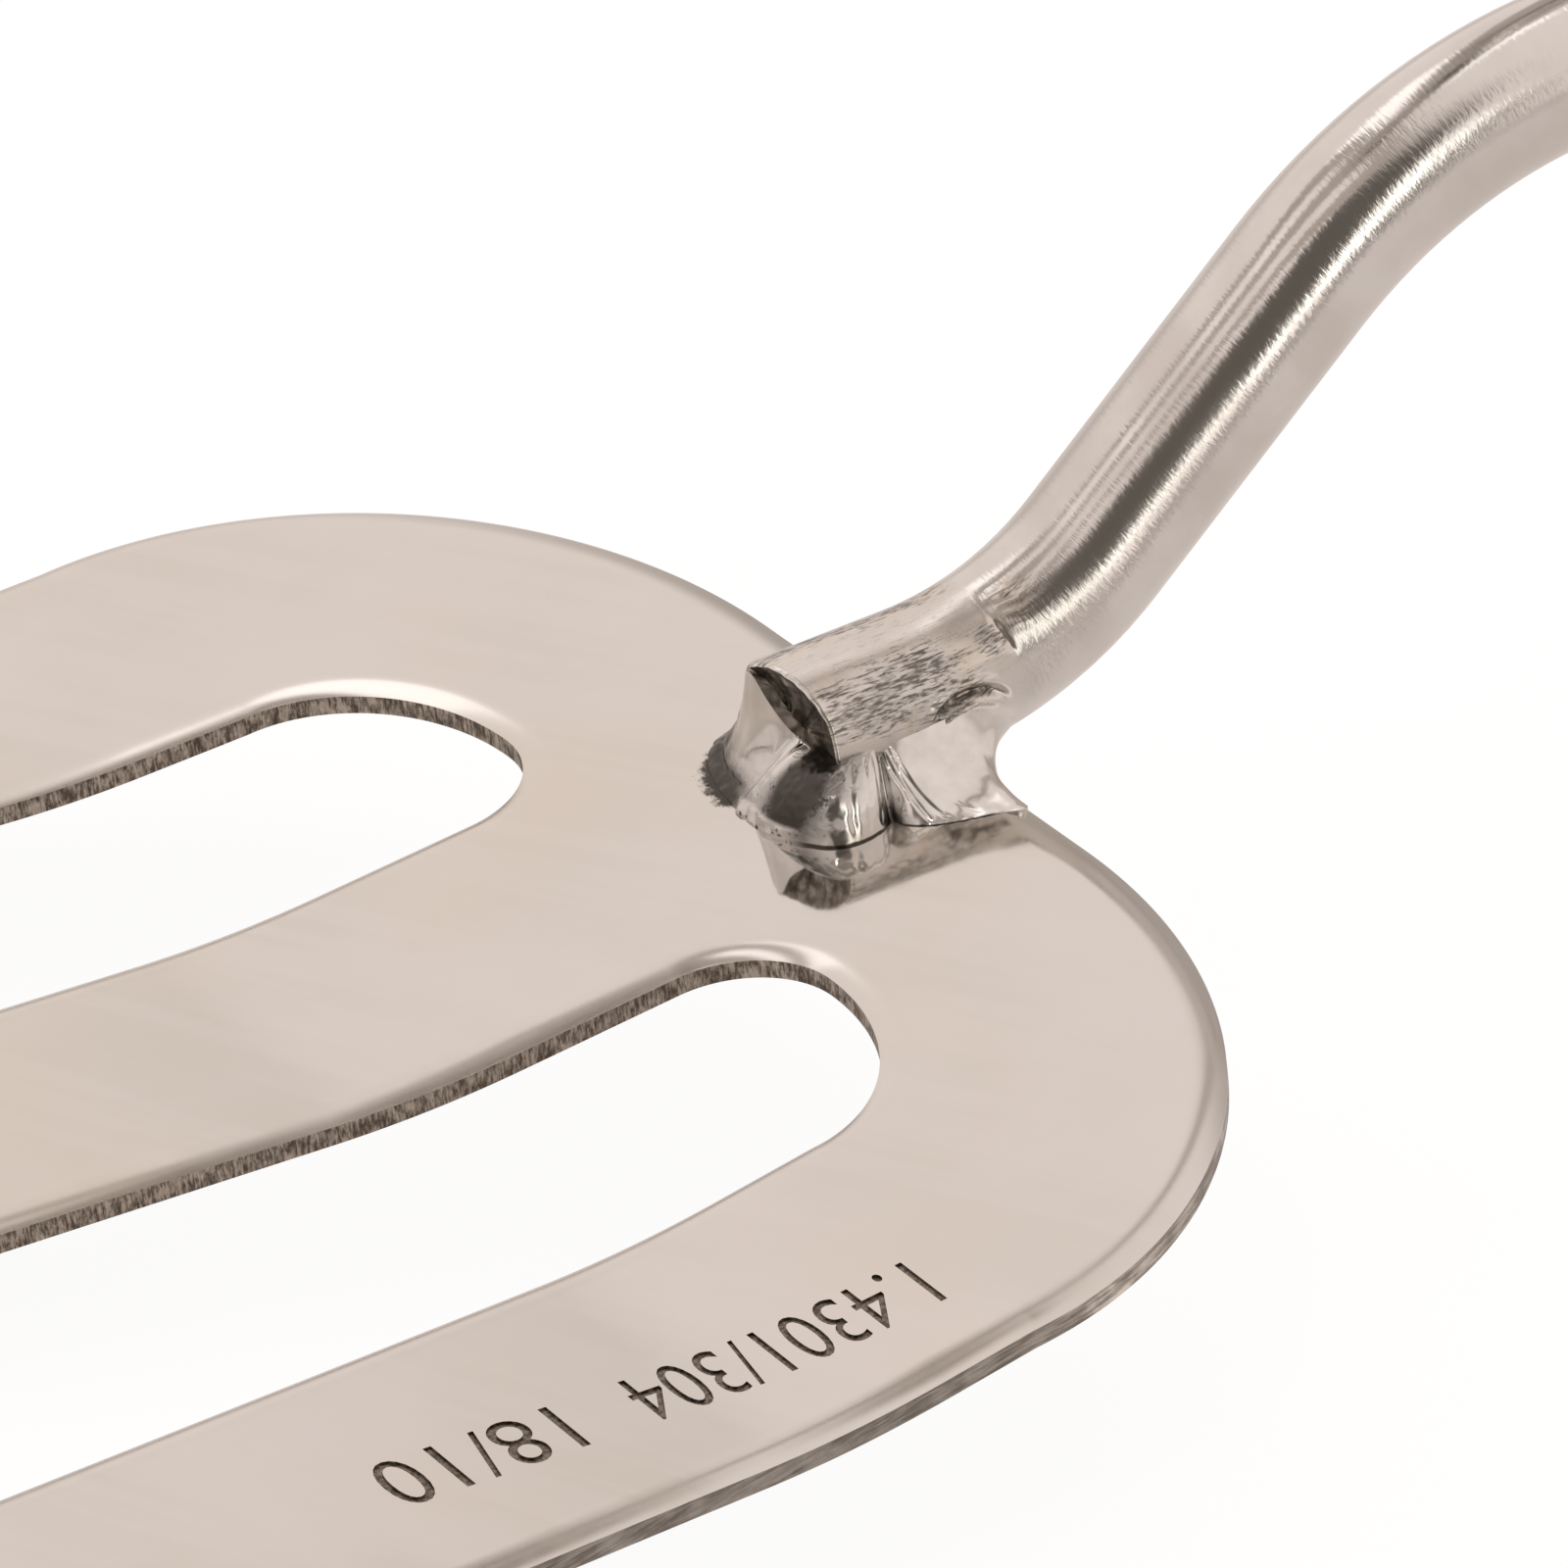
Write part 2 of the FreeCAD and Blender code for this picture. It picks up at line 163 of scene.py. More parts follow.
def periodic(keys: Sequence[Sequence[float]], place: float) -> list[float]:
    """Read a closed row of keys along a smooth curve.

    Args:
        keys: Rows of numbers, evenly spaced round the loop.
        place: Share of the way round, from 0 to 1.

    Returns:
        One row of numbers.
    """
    count = len(keys)
    at = place * count
    first = math.floor(at)
    t = at - first
    p0, p1, p2, p3 = (keys[(first + k) % count] for k in (-1, 0, 1, 2))
    row = []
    for a, b, c, d in zip(p0, p1, p2, p3):
        row.append(b + 0.5 * t * (c - a + t * (2 * a - 5 * b + 4 * c - d + t * (3 * (b - c) + d - a))))
    return row


def new_object(name: str, mesh: bpy.types.Mesh) -> bpy.types.Object:
    """Link a mesh into the scene as an object at the origin."""
    piece = bpy.data.objects.new(name, mesh)
    bpy.context.scene.collection.objects.link(piece)
    return piece


def mesh_of(name: str, bm: bmesh.types.BMesh) -> bpy.types.Mesh:
    """Turn a bmesh into a mesh and free it."""
    mesh = bpy.data.meshes.new(name)
    bm.to_mesh(mesh)
    bm.free()
    return mesh


def open_edges(bm: bmesh.types.BMesh) -> list[bmesh.types.BMEdge]:
    """Edges that have a face on one side only."""
    return [edge for edge in bm.edges if edge.is_boundary]


def extruded(bm: bmesh.types.BMesh, edges: Sequence[bmesh.types.BMEdge]
             ) -> tuple[list[bmesh.types.BMVert], list[bmesh.types.BMEdge]]:
    """Extrude a loop of edges and return its new vertices and its new edges."""
    made = bmesh.ops.extrude_edge_only(bm, edges=edges)["geom"]
    return ([item for item in made if isinstance(item, bmesh.types.BMVert)],
            [item for item in made if isinstance(item, bmesh.types.BMEdge)])


def evaluated_mesh(piece: bpy.types.Object) -> bpy.types.Mesh:
    """Mesh of an object with its modifiers applied."""
    depsgraph = bpy.context.evaluated_depsgraph_get()
    return bpy.data.meshes.new_from_object(piece.evaluated_get(depsgraph), depsgraph=depsgraph)


def finished(name: str, bm: bmesh.types.BMesh, matrix: Matrix, materials: Iterable[bpy.types.Material],
             sharp_degrees: float = JAW_SHARP) -> bpy.types.Object:
    """Turn a bmesh in millimetres into a shaded object in the tool frame.

    Args:
        name: Name of the piece.
        bm: The shape; it is freed.
        matrix: From the shape's own frame to the tool frame.
        materials: Materials, in the order of the faces' indices.
        sharp_degrees: Edges sharper than this stay crisp.

    Returns:
        The new object, with its place in its mesh.
    """
    bmesh.ops.transform(bm, matrix=matrix, verts=bm.verts)
    mesh = mesh_of(name, bm)
    for material in materials:
        mesh.materials.append(material)
    mesh.shade_smooth()
    mesh.set_sharp_from_angle(angle=math.radians(sharp_degrees))
    piece = new_object(name, mesh)
    weighted = piece.modifiers.new("Even shading", "WEIGHTED_NORMAL")
    weighted.keep_sharp = True
    weighted.weight = AREA_WEIGHT
    return piece


# ---------------------------------------------------------------------------------------------
# Shader building
# ---------------------------------------------------------------------------------------------


class Graph:
    """Short calls for building a node tree."""

    def __init__(self, tree: bpy.types.NodeTree) -> None:
        """Work on one node tree."""
        self.tree = tree

    def add(self, kind: str, **inputs: object) -> bpy.types.Node:
        """Add a node.

        Args:
            kind: Node type, without the leading ShaderNode.
            inputs: Properties of the node, or its inputs with spaces as underscores; an output
                socket is linked and anything else is set.

        Returns:
            The node.
        """
        node = self.tree.nodes.new(kind if kind.startswith("Node") else "ShaderNode" + kind)
        for key, value in inputs.items():
            if hasattr(node, key) and key.islower():
                setattr(node, key, value)
                continue
            name = key.replace("_", " ")
            socket = node.inputs[int(key[1:])] if key[1:].isdigit() else node.inputs[name]
            self.put(socket, value)
        return node

    def put(self, socket: bpy.types.NodeSocket, value: object) -> None:
        """Link or set one input."""
        if isinstance(value, bpy.types.NodeSocket):
            self.tree.links.new(value, socket)
        else:
            socket.default_value = value

    def math(self, operation: str, a: object, b: object = 0.0,
             clamp: bool = False) -> bpy.types.NodeSocket:
        """Add a math node and return its output."""
        return self.add("Math", operation=operation, use_clamp=clamp, _0=a, _1=b).outputs[0]

    def ramp(self, value: object, low: float, high: float, to_low: float = 0.0,
             to_high: float = 1.0) -> bpy.types.NodeSocket:
        """Map a value smoothly from one range to another and return the output."""
        return self.add("MapRange", interpolation_type="SMOOTHSTEP", Value=value, From_Min=low, From_Max=high,
                        To_Min=to_low, To_Max=to_high).outputs["Result"]

    def noise(self, vector: object, scale: float, detail: float = 2.0, rough: float = 0.5,
              stretch: Sequence[float] = (1.0, 1.0, 1.0)) -> bpy.types.NodeSocket:
        """Add a noise read through a stretched copy of the vector and return its value."""
        moved = self.add("Mapping", Vector=vector, Scale=stretch).outputs[0]
        return self.add("TexNoise", Vector=moved, Scale=scale, Detail=detail, Roughness=rough).outputs["Fac"]

    def blend(self, share: object, a: object, b: object) -> bpy.types.NodeSocket:
        """Mix two colours and return the output."""
        return self.add("Mix", data_type="RGBA", _0=share, _6=a, _7=b).outputs[2]

    def scaled(self, value: object, factor: object) -> bpy.types.NodeSocket:
        """Multiply two values and return the output."""
        return self.math("MULTIPLY", value, factor)

    def sum(self, first: object, *others: object) -> bpy.types.NodeSocket:
        """Add values in order and return the output."""
        for other in others:
            first = self.math("ADD", first, other)
        return first


def rgba(red: float, green: float, blue: float) -> tuple[float, float, float, float]:
    """Opaque colour."""
    return (red, green, blue, 1.0)


class SurfaceEffects:
    """Node groups that several finishes share; each is built once."""

    def __init__(self) -> None:
        """Build the groups."""
        self.scratches = self._scratches()
        self.soot_and_shade = self._soot_and_shade()
        self.grime = self._grime()

    @staticmethod
    def _group(name: str, inputs: Sequence[tuple[str, str, object]],
               outputs: Sequence[tuple[str, str]]) -> tuple[bpy.types.NodeTree, Graph, bpy.types.Node]:
        """Start a node group with named sockets.

        Args:
            name: Name of the group.
            inputs: Name, socket type and default of each input.
            outputs: Name and socket type of each output.

        Returns:
            The tree, a graph on it and its input node.
        """
        tree = bpy.data.node_groups.new(name, "ShaderNodeTree")
        for label, kind, default in inputs:
            socket = tree.interface.new_socket(label, in_out="INPUT", socket_type="NodeSocket" + kind)
            if default is not None:
                socket.default_value = default
        for label, kind in outputs:
            tree.interface.new_socket(label, in_out="OUTPUT", socket_type="NodeSocket" + kind)
        graph = Graph(tree)
        return tree, graph, graph.add("NodeGroupInput")

    def _scratches(self) -> bpy.types.NodeTree:
        """Fine drawn or brushed lines along the vector's X axis, as a height from 0 to 1."""
        tree, graph, source = self._group(
            "Fine scratches", [("Vector", "Vector", None), ("Fineness", "Float", 6.0)],
            [("Height", "Float"), ("Streaks", "Float")])
        scaled = graph.add("VectorMath", operation="SCALE", _0=source.outputs["Vector"])
        graph.put(scaled.inputs["Scale"], source.outputs["Fineness"])
        fine = graph.noise(scaled.outputs[0], 1.0, 3.0, 0.6, (0.03, 1.0, 1.0))
        broad = graph.noise(scaled.outputs[0], 0.22, 2.0, 0.5, (0.05, 1.0, 1.0))
        height = graph.sum(graph.scaled(fine, 0.7), graph.scaled(broad, 0.3))
        graph.add("NodeGroupOutput", Height=height, Streaks=graph.ramp(broad, 0.35, 0.65))
        return tree

    def _soot_and_shade(self) -> bpy.types.NodeTree:
        """Broken, speckled edge from a smooth mask: burnt metal, and on the weld also painted shade."""
        tree, graph, source = self._group(
            "Burnt speckle", [("Vector", "Vector", None), ("Mask", "Float", 0.0)],
            [("Amount", "Float"), ("Grit", "Float")])
        coarse = graph.noise(source.outputs["Vector"], 1.6, 5.0, 0.65)
        grit = graph.noise(source.outputs["Vector"], 7.0, 4.0, 0.7)
        mask = source.outputs["Mask"]
        edge = graph.sum(mask, graph.scaled(graph.math("SUBTRACT", coarse, 0.5), 1.1),
                         graph.scaled(graph.math("SUBTRACT", grit, 0.5), 0.7))
        amount = graph.scaled(graph.ramp(edge, 0.35, 0.75), graph.ramp(mask, 0.0, 0.25))
        graph.add("NodeGroupOutput", Amount=amount, Grit=grit)
        return tree

    def _grime(self) -> bpy.types.NodeTree:
        """Slow cloudy variation of handled metal, from 0 to 1."""
        tree, graph, source = self._group(
            "Cloudy handling", [("Vector", "Vector", None), ("Size", "Float", 0.08)], [("Cloud", "Float")])
        scaled = graph.add("VectorMath", operation="SCALE", _0=source.outputs["Vector"])
        graph.put(scaled.inputs["Scale"], source.outputs["Size"])
        cloud = graph.noise(scaled.outputs[0], 1.0, 4.0, 0.55)
        graph.add("NodeGroupOutput", Cloud=graph.ramp(cloud, 0.3, 0.7))
        return tree

    def use(self, graph: Graph, tree: bpy.types.NodeTree, **inputs: object) -> bpy.types.Node:
        """Place a group in a material.

        Args:
            graph: The material's graph.
            tree: The group.
            inputs: Values or sockets for the group's inputs.

        Returns:
            The group node.
        """
        node = graph.add("Group")
        node.node_tree = tree
        for name, value in inputs.items():
            graph.put(node.inputs[name], value)
        return node


@dataclass(frozen=True)
class SteelFinish:
    """A steel surface: its colours in linear light, its gloss and its relief."""

    name: str
    bright: tuple[float, float, float, float]
    dull: tuple[float, float, float, float]
    roughness: float
    dull_roughness: float
    relief_mm: float


POLISHED = SteelFinish("polished_sheet", rgba(0.665, 0.642, 0.620), rgba(0.625, 0.598, 0.560),
                       0.045, 0.10, 0.0006)
SHEARED = SteelFinish("sheared_edge", rgba(0.46, 0.405, 0.35), rgba(0.11, 0.088, 0.070), 0.38, 0.60, 0.05)
DEBURRED = SteelFinish("deburred_edge", rgba(0.50, 0.47, 0.43), rgba(0.22, 0.195, 0.17), 0.24, 0.42, 0.012)
STAMPED = SteelFinish("stamped_recess", rgba(0.25, 0.215, 0.18), rgba(0.09, 0.075, 0.06), 0.35, 0.5, 0.01)
DRAWN = SteelFinish("drawn_rod", rgba(0.665, 0.645, 0.625), rgba(0.575, 0.545, 0.515), 0.12, 0.20, 0.026)
TORN = SteelFinish("torn_end", rgba(0.42, 0.39, 0.36), rgba(0.15, 0.13, 0.11), 0.34, 0.55, 0.04)
WELDED = SteelFinish("weld_metal", rgba(0.70, 0.68, 0.655), rgba(0.60, 0.575, 0.55), 0.11, 0.20, 0.008)
TURNED = SteelFinish("turned_fastener", rgba(0.66, 0.65, 0.64), rgba(0.56, 0.55, 0.54), 0.20, 0.32, 0.003)
NYLON_DARK = rgba(0.035, 0.10, 0.36)
NYLON_LIGHT = rgba(0.05, 0.14, 0.45)
# Dark of soot, also used as painted shade on the weld's front bead and in the stub's crescent cut.
SOOT_AND_SHADE_COLOUR = rgba(0.050, 0.042, 0.036)
STRAW_TINT = rgba(0.62, 0.44, 0.22)
BLUE_TINT = rgba(0.26, 0.34, 0.46)
WARM_TINT = rgba(0.66, 0.61, 0.52)
FOAM_COLOUR = rgba(0.62, 0.59, 0.565)
SOOT_CENTRE_MM = (-6.4, 1.6, 0.0)
SOOT_REACH_MM = (5.8, 4.0)
SOOT_HEIGHT_MM = (-0.9, -0.4)
STUB_END_MM = (4.6, 3.4)


class Finishes:
    """Builds the materials, each with its patterns laid in the frame of the half that it is on."""

    def __init__(self, effects: SurfaceEffects) -> None:
        """Keep the shared node groups."""
        self.effects = effects

    def _start(self, name: str, matrix: Matrix) -> tuple[bpy.types.Material, Graph, bpy.types.NodeSocket]:
        """Start a material that reads millimetres in its own frame.

        Args:
            name: Name of the material.
            matrix: From the pattern's frame to the tool frame.

        Returns:
            The material, its graph and the millimetre vector.
        """
        material = bpy.data.materials.new(name)
        material.use_nodes = True
        material.node_tree.nodes.clear()
        graph = Graph(material.node_tree)
        place, turn, _ = matrix.decompose()
        mapping = graph.add("Mapping", vector_type="TEXTURE", Vector=graph.add("TexCoord").outputs["Object"],
                            Location=place, Rotation=turn.to_euler(), Scale=(MM, MM, MM))
        return material, graph, mapping.outputs[0]

    def _close(self, graph: Graph, colour: object, roughness: object, height: object, relief_mm: float,
               metallic: float = 1.0) -> None:
        """Finish a material with a Principled shader.

        Args:
            graph: The material's graph.
            colour: Base colour.
            roughness: Roughness.
            height: Relief from 0 to 1.
            relief_mm: Depth of the relief.
            metallic: 1 for bare metal.
        """
        bump = graph.add("Bump", Height=height, Distance=relief_mm * MM, Strength=1.0)
        shader = graph.add("BsdfPrincipled", Base_Color=colour, Roughness=roughness, Normal=bump.outputs[0],
                           Metallic=metallic)
        graph.add("OutputMaterial", Surface=shader.outputs[0])

    def polished(self, half: Half, finish: SteelFinish = POLISHED) -> bpy.types.Material:
        """Near-mirror sheet with faint polishing lines, clouds and burnt metal round the weld."""
        material, graph, mm = self._start(half.name + "_" + finish.name, half.matrix)
        turned = graph.add("VectorRotate", rotation_type="Z_AXIS", Vector=mm, Angle=math.radians(62.0))
        lines = self.effects.use(graph, self.effects.scratches, Vector=turned.outputs[0], Fineness=2.4)
        cloud = self.effects.use(graph, self.effects.grime, Vector=mm, Size=0.055)
        share = graph.scaled(cloud.outputs["Cloud"],
                           graph.ramp(lines.outputs["Streaks"], 0.0, 1.0, 0.55, 1.0))
        colour = graph.blend(share, finish.bright, finish.dull)
        warm = graph.ramp(graph.noise(mm, 0.045, 2.0, 0.5), 0.45, 0.68, 0.0, 0.35)
        colour = graph.blend(warm, colour, WARM_TINT)
        rough = graph.ramp(share, 0.0, 1.0, finish.roughness, finish.dull_roughness)
        flat = graph.add("VectorMath", operation="MULTIPLY", _0=mm, _1=(1.0, 1.0, 0.0))
        reach = graph.add("VectorMath", operation="DISTANCE", _0=flat.outputs[0], _1=SOOT_CENTRE_MM)
        parts = graph.add("SeparateXYZ", Vector=mm)
        mask = graph.scaled(graph.ramp(reach.outputs["Value"], *SOOT_REACH_MM),
                            graph.ramp(parts.outputs[2], *SOOT_HEIGHT_MM))
        front = graph.scaled(graph.ramp(parts.outputs[0], -3.2, -6.2),
                           graph.ramp(parts.outputs[1], -0.6, 1.6))
        dark_speckle = self.effects.use(graph, self.effects.soot_and_shade, Vector=mm, Mask=graph.scaled(mask, front))
        colour = graph.blend(graph.scaled(dark_speckle.outputs["Amount"], 0.94), colour, SOOT_AND_SHADE_COLOUR)
        rough = graph.sum(rough, graph.scaled(dark_speckle.outputs["Amount"], 0.45))
        rim = graph.add("Attribute", attribute_name="rim").outputs["Fac"]
        rough = graph.sum(rough, graph.ramp(rim, 0.0, 0.35, 0.0, 0.13))
        wave = graph.noise(mm, 0.09, 1.0, 0.4)
        height = graph.sum(lines.outputs["Height"], graph.scaled(wave, 22.0))
        height = graph.sum(height, graph.scaled(dark_speckle.outputs["Amount"], 18.0))
        self._close(graph, colour, rough, height, finish.relief_mm)
        return material

    def sheared(self, half: Half, finish: SteelFinish = SHEARED) -> bpy.types.Material:
        """Torn wall of the punched sheet: fine upright furrows between dark and bright."""
        material, graph, mm = self._start(half.name + "_" + finish.name, half.matrix)
        furrows = graph.noise(mm, 5.5, 4.0, 0.7, (1.0, 1.0, 0.22))
        breaks = graph.noise(mm, 1.1, 3.0, 0.6)
        share = graph.ramp(graph.sum(graph.scaled(furrows, 0.65),
                                      graph.scaled(breaks, 0.35)), 0.38, 0.60)
        colour = graph.blend(share, finish.bright, finish.dull)
        rough = graph.ramp(share, 0.0, 1.0, finish.roughness, finish.dull_roughness)
        self._close(graph, colour, rough, furrows, finish.relief_mm)
        return material

    def deburred(self, half: Half, finish: SteelFinish = DEBURRED) -> bpy.types.Material:
        """Outer wall of the sheet, ground smooth: soft streaks that run with the edge."""
        material, graph, mm = self._start(half.name + "_" + finish.name, half.matrix)
        streaks = graph.noise(mm, 3.2, 3.0, 0.6, (0.12, 0.12, 1.6))
        breaks = graph.noise(mm, 0.5, 3.0, 0.6)
        share = graph.ramp(graph.sum(graph.scaled(streaks, 0.6),
                                      graph.scaled(breaks, 0.4)), 0.36, 0.62)
        colour = graph.blend(share, finish.bright, finish.dull)
        rough = graph.ramp(share, 0.0, 1.0, finish.roughness, finish.dull_roughness)
        self._close(graph, colour, rough, streaks, finish.relief_mm)
        return material

    def stamped(self, half: Half, finish: SteelFinish = STAMPED) -> bpy.types.Material:
        """Dull, darkened floor of the stamped marks."""
        material, graph, mm = self._start(half.name + "_" + finish.name, half.matrix)
        grain = graph.noise(mm, 4.0, 3.0, 0.6)
        colour = graph.blend(graph.ramp(grain, 0.35, 0.65), finish.bright, finish.dull)
        self._close(graph, colour, finish.roughness, grain, finish.relief_mm)
        return material

    def drawn(self, half: Half, finish: SteelFinish = DRAWN) -> bpy.types.Material:
        """Drawn rod: fine hoops from straightening, and a smoked, scraped stub with painted shade in its
        crescent cut.
        """
        material, graph, _ = self._start(half.name + "_" + finish.name, half.matrix)
        straight = graph.add("Attribute", attribute_name="straight").outputs["Vector"]
        along = graph.add("SeparateXYZ", Vector=straight).outputs[0]
        squeezed = graph.add("VectorMath", operation="MULTIPLY", _0=straight, _1=(1.0, 0.4, 0.4))
        swapped = graph.add("VectorRotate", rotation_type="Z_AXIS", Vector=squeezed.outputs[0],
                            Angle=math.radians(90.0))
        hoops = self.effects.use(graph, self.effects.scratches, Vector=swapped.outputs[0], Fineness=4.6)
        lengthwise = self.effects.use(graph, self.effects.scratches, Vector=straight, Fineness=3.4)
        stub = graph.ramp(along, *STUB_END_MM)
        cloud = self.effects.use(graph, self.effects.grime, Vector=straight, Size=0.16)
        share = graph.scaled(cloud.outputs["Cloud"], 0.8)
        colour = graph.blend(share, finish.bright, finish.dull)
        rough = graph.ramp(share, 0.0, 1.0, finish.roughness, finish.dull_roughness)
        mask = graph.add("Attribute", attribute_name="smoke").outputs["Fac"]
        dashes = graph.noise(straight, 1.0, 4.0, 0.65, (1.4, 7.5, 7.5))
        broad = graph.noise(straight, 1.0, 3.0, 0.6, (0.30, 1.3, 1.3))
        smudge = graph.sum(graph.scaled(dashes, 0.60), graph.scaled(broad, 0.40))
        smudge = graph.sum(smudge, graph.scaled(mask, 0.20))
        smudge = graph.scaled(graph.ramp(smudge, 0.53, 0.69), graph.ramp(mask, 0.0, 0.35))
        smudge = graph.scaled(smudge, graph.ramp(dashes, 0.42, 0.60, 0.30, 1.0))
        tint = graph.math("MULTIPLY", graph.ramp(mask, 0.05, 0.3), graph.noise(straight, 0.8, 2.0), True)
        colour = graph.blend(graph.scaled(tint, 0.28), colour, STRAW_TINT)
        blue = graph.math("MULTIPLY", graph.ramp(mask, 0.3, 0.5), graph.noise(straight, 1.3, 2.0), True)
        colour = graph.blend(graph.scaled(blue, 0.22), colour, BLUE_TINT)
        # Darkens the smudges and, through the mask, the crescent cut, where the dark is painted shade.
        colour = graph.blend(graph.scaled(smudge, 0.78), colour, SOOT_AND_SHADE_COLOUR)
        rough = graph.sum(rough, graph.scaled(smudge, 0.22))
        rough = graph.sum(rough, graph.scaled(stub, 0.10))
        relief = graph.blend(stub, hoops.outputs["Height"], lengthwise.outputs["Height"])
        relief = graph.scaled(relief, graph.ramp(stub, 0.0, 1.0, 1.0, 0.5))
        height = graph.sum(relief, graph.scaled(dashes, graph.scaled(mask, -0.25)))
        self._close(graph, colour, rough, height, finish.relief_mm)
        return material

    def torn(self, half: Half, finish: SteelFinish = TORN) -> bpy.types.Material:
        """Rough, dark end face where the rod was cropped."""
        material, graph, mm = self._start(half.name + "_" + finish.name, half.matrix)
        lumps = graph.noise(mm, 1.5, 5.0, 0.7)
        colour = graph.blend(graph.ramp(lumps, 0.42, 0.62), finish.dull, finish.bright)
        rough = graph.ramp(lumps, 0.3, 0.7, finish.dull_roughness, finish.roughness)
        self._close(graph, colour, rough, lumps, finish.relief_mm)
        return material

    def welded(self, half: Half, finish: SteelFinish = WELDED) -> bpy.types.Material:
        """Smooth frozen weld pool with burnt, pitted patches, and painted shade for the front bead's dark
        reflection.
        """
        material, graph, mm = self._start(half.name + "_" + finish.name, half.matrix)
        mask = graph.add("Attribute", attribute_name="burn").outputs["Fac"]
        foam = graph.add("Attribute", attribute_name="foam").outputs["Fac"]
        dark_speckle = self.effects.use(graph, self.effects.soot_and_shade, Vector=mm, Mask=mask)
        cloud = self.effects.use(graph, self.effects.grime, Vector=mm, Size=0.5)
        colour = graph.blend(cloud.outputs["Cloud"], finish.bright, finish.dull)
        rough = graph.ramp(cloud.outputs["Cloud"], 0.0, 1.0, finish.roughness, finish.dull_roughness)
        # Painted shade: the burn and shade mask darkens burnt metal, and also the front bead, where it stands
        # for the bead's dark reflection.
        shade = graph.ramp(mask, 0.2, 0.75, 0.0, 0.965)
        shade = graph.math("MAXIMUM", shade, graph.scaled(dark_speckle.outputs["Amount"], 0.965))
        colour = graph.blend(shade, colour, SOOT_AND_SHADE_COLOUR)
        rough = graph.sum(rough, graph.scaled(dark_speckle.outputs["Amount"], 0.07))
        crust = graph.scaled(foam, graph.ramp(graph.noise(mm, 3.0, 4.0, 0.7), 0.32, 0.46))
        colour = graph.blend(crust, colour, FOAM_COLOUR)
        rough = graph.sum(rough, graph.scaled(crust, 0.30))
        skin = graph.noise(mm, 1.6, 1.0, 0.4)
        height = graph.sum(skin, graph.scaled(dark_speckle.outputs["Grit"],
                                                    graph.scaled(mask, 1.3)))
        height = graph.sum(height, graph.scaled(crust, 1.5))
        self._close(graph, colour, rough, height, finish.relief_mm)
        return material

    def turned(self, matrix: Matrix, finish: SteelFinish = TURNED) -> bpy.types.Material:
        """Machined fastener steel with turning rings round the bolt's axis."""
        material, graph, mm = self._start(finish.name, matrix)
        parts = graph.add("SeparateXYZ", Vector=mm)
        flat = graph.add("VectorMath", operation="MULTIPLY", _0=mm, _1=(1.0, 0.0, 1.0))
        radius = graph.add("VectorMath", operation="LENGTH", _0=flat.outputs[0]).outputs["Value"]
        rings = graph.add("CombineXYZ", X=graph.scaled(radius, 8.0),
                          Y=graph.scaled(parts.outputs[1], 6.0))
        height = graph.noise(rings.outputs[0], 1.0, 3.0, 0.6)
        cloud = self.effects.use(graph, self.effects.grime, Vector=mm, Size=0.35)
        colour = graph.blend(cloud.outputs["Cloud"], finish.bright, finish.dull)
        rough = graph.ramp(cloud.outputs["Cloud"], 0.0, 1.0, finish.roughness, finish.dull_roughness)
        self._close(graph, colour, rough, height, finish.relief_mm)
        return material

    def nylon(self, matrix: Matrix) -> bpy.types.Material:
        """Moulded blue nylon of the lock nut's ring."""
        material, graph, mm = self._start("nylon_ring", matrix)
        grain = graph.noise(mm, 3.0, 3.0, 0.6)
        colour = graph.blend(graph.ramp(grain, 0.3, 0.7), NYLON_DARK, NYLON_LIGHT)
        self._close(graph, colour, graph.ramp(grain, 0.3, 0.7, 0.42, 0.55), grain, 0.01, metallic=0.0)
        return material


# ---------------------------------------------------------------------------------------------
# Jaw plate
# ---------------------------------------------------------------------------------------------


class Face(Enum):
    """Kinds of face on a jaw plate, by the index of their material."""

    POLISHED = 0
    SLOT_WALL = 1
    STAMP = 2
    OUTER_WALL = 3


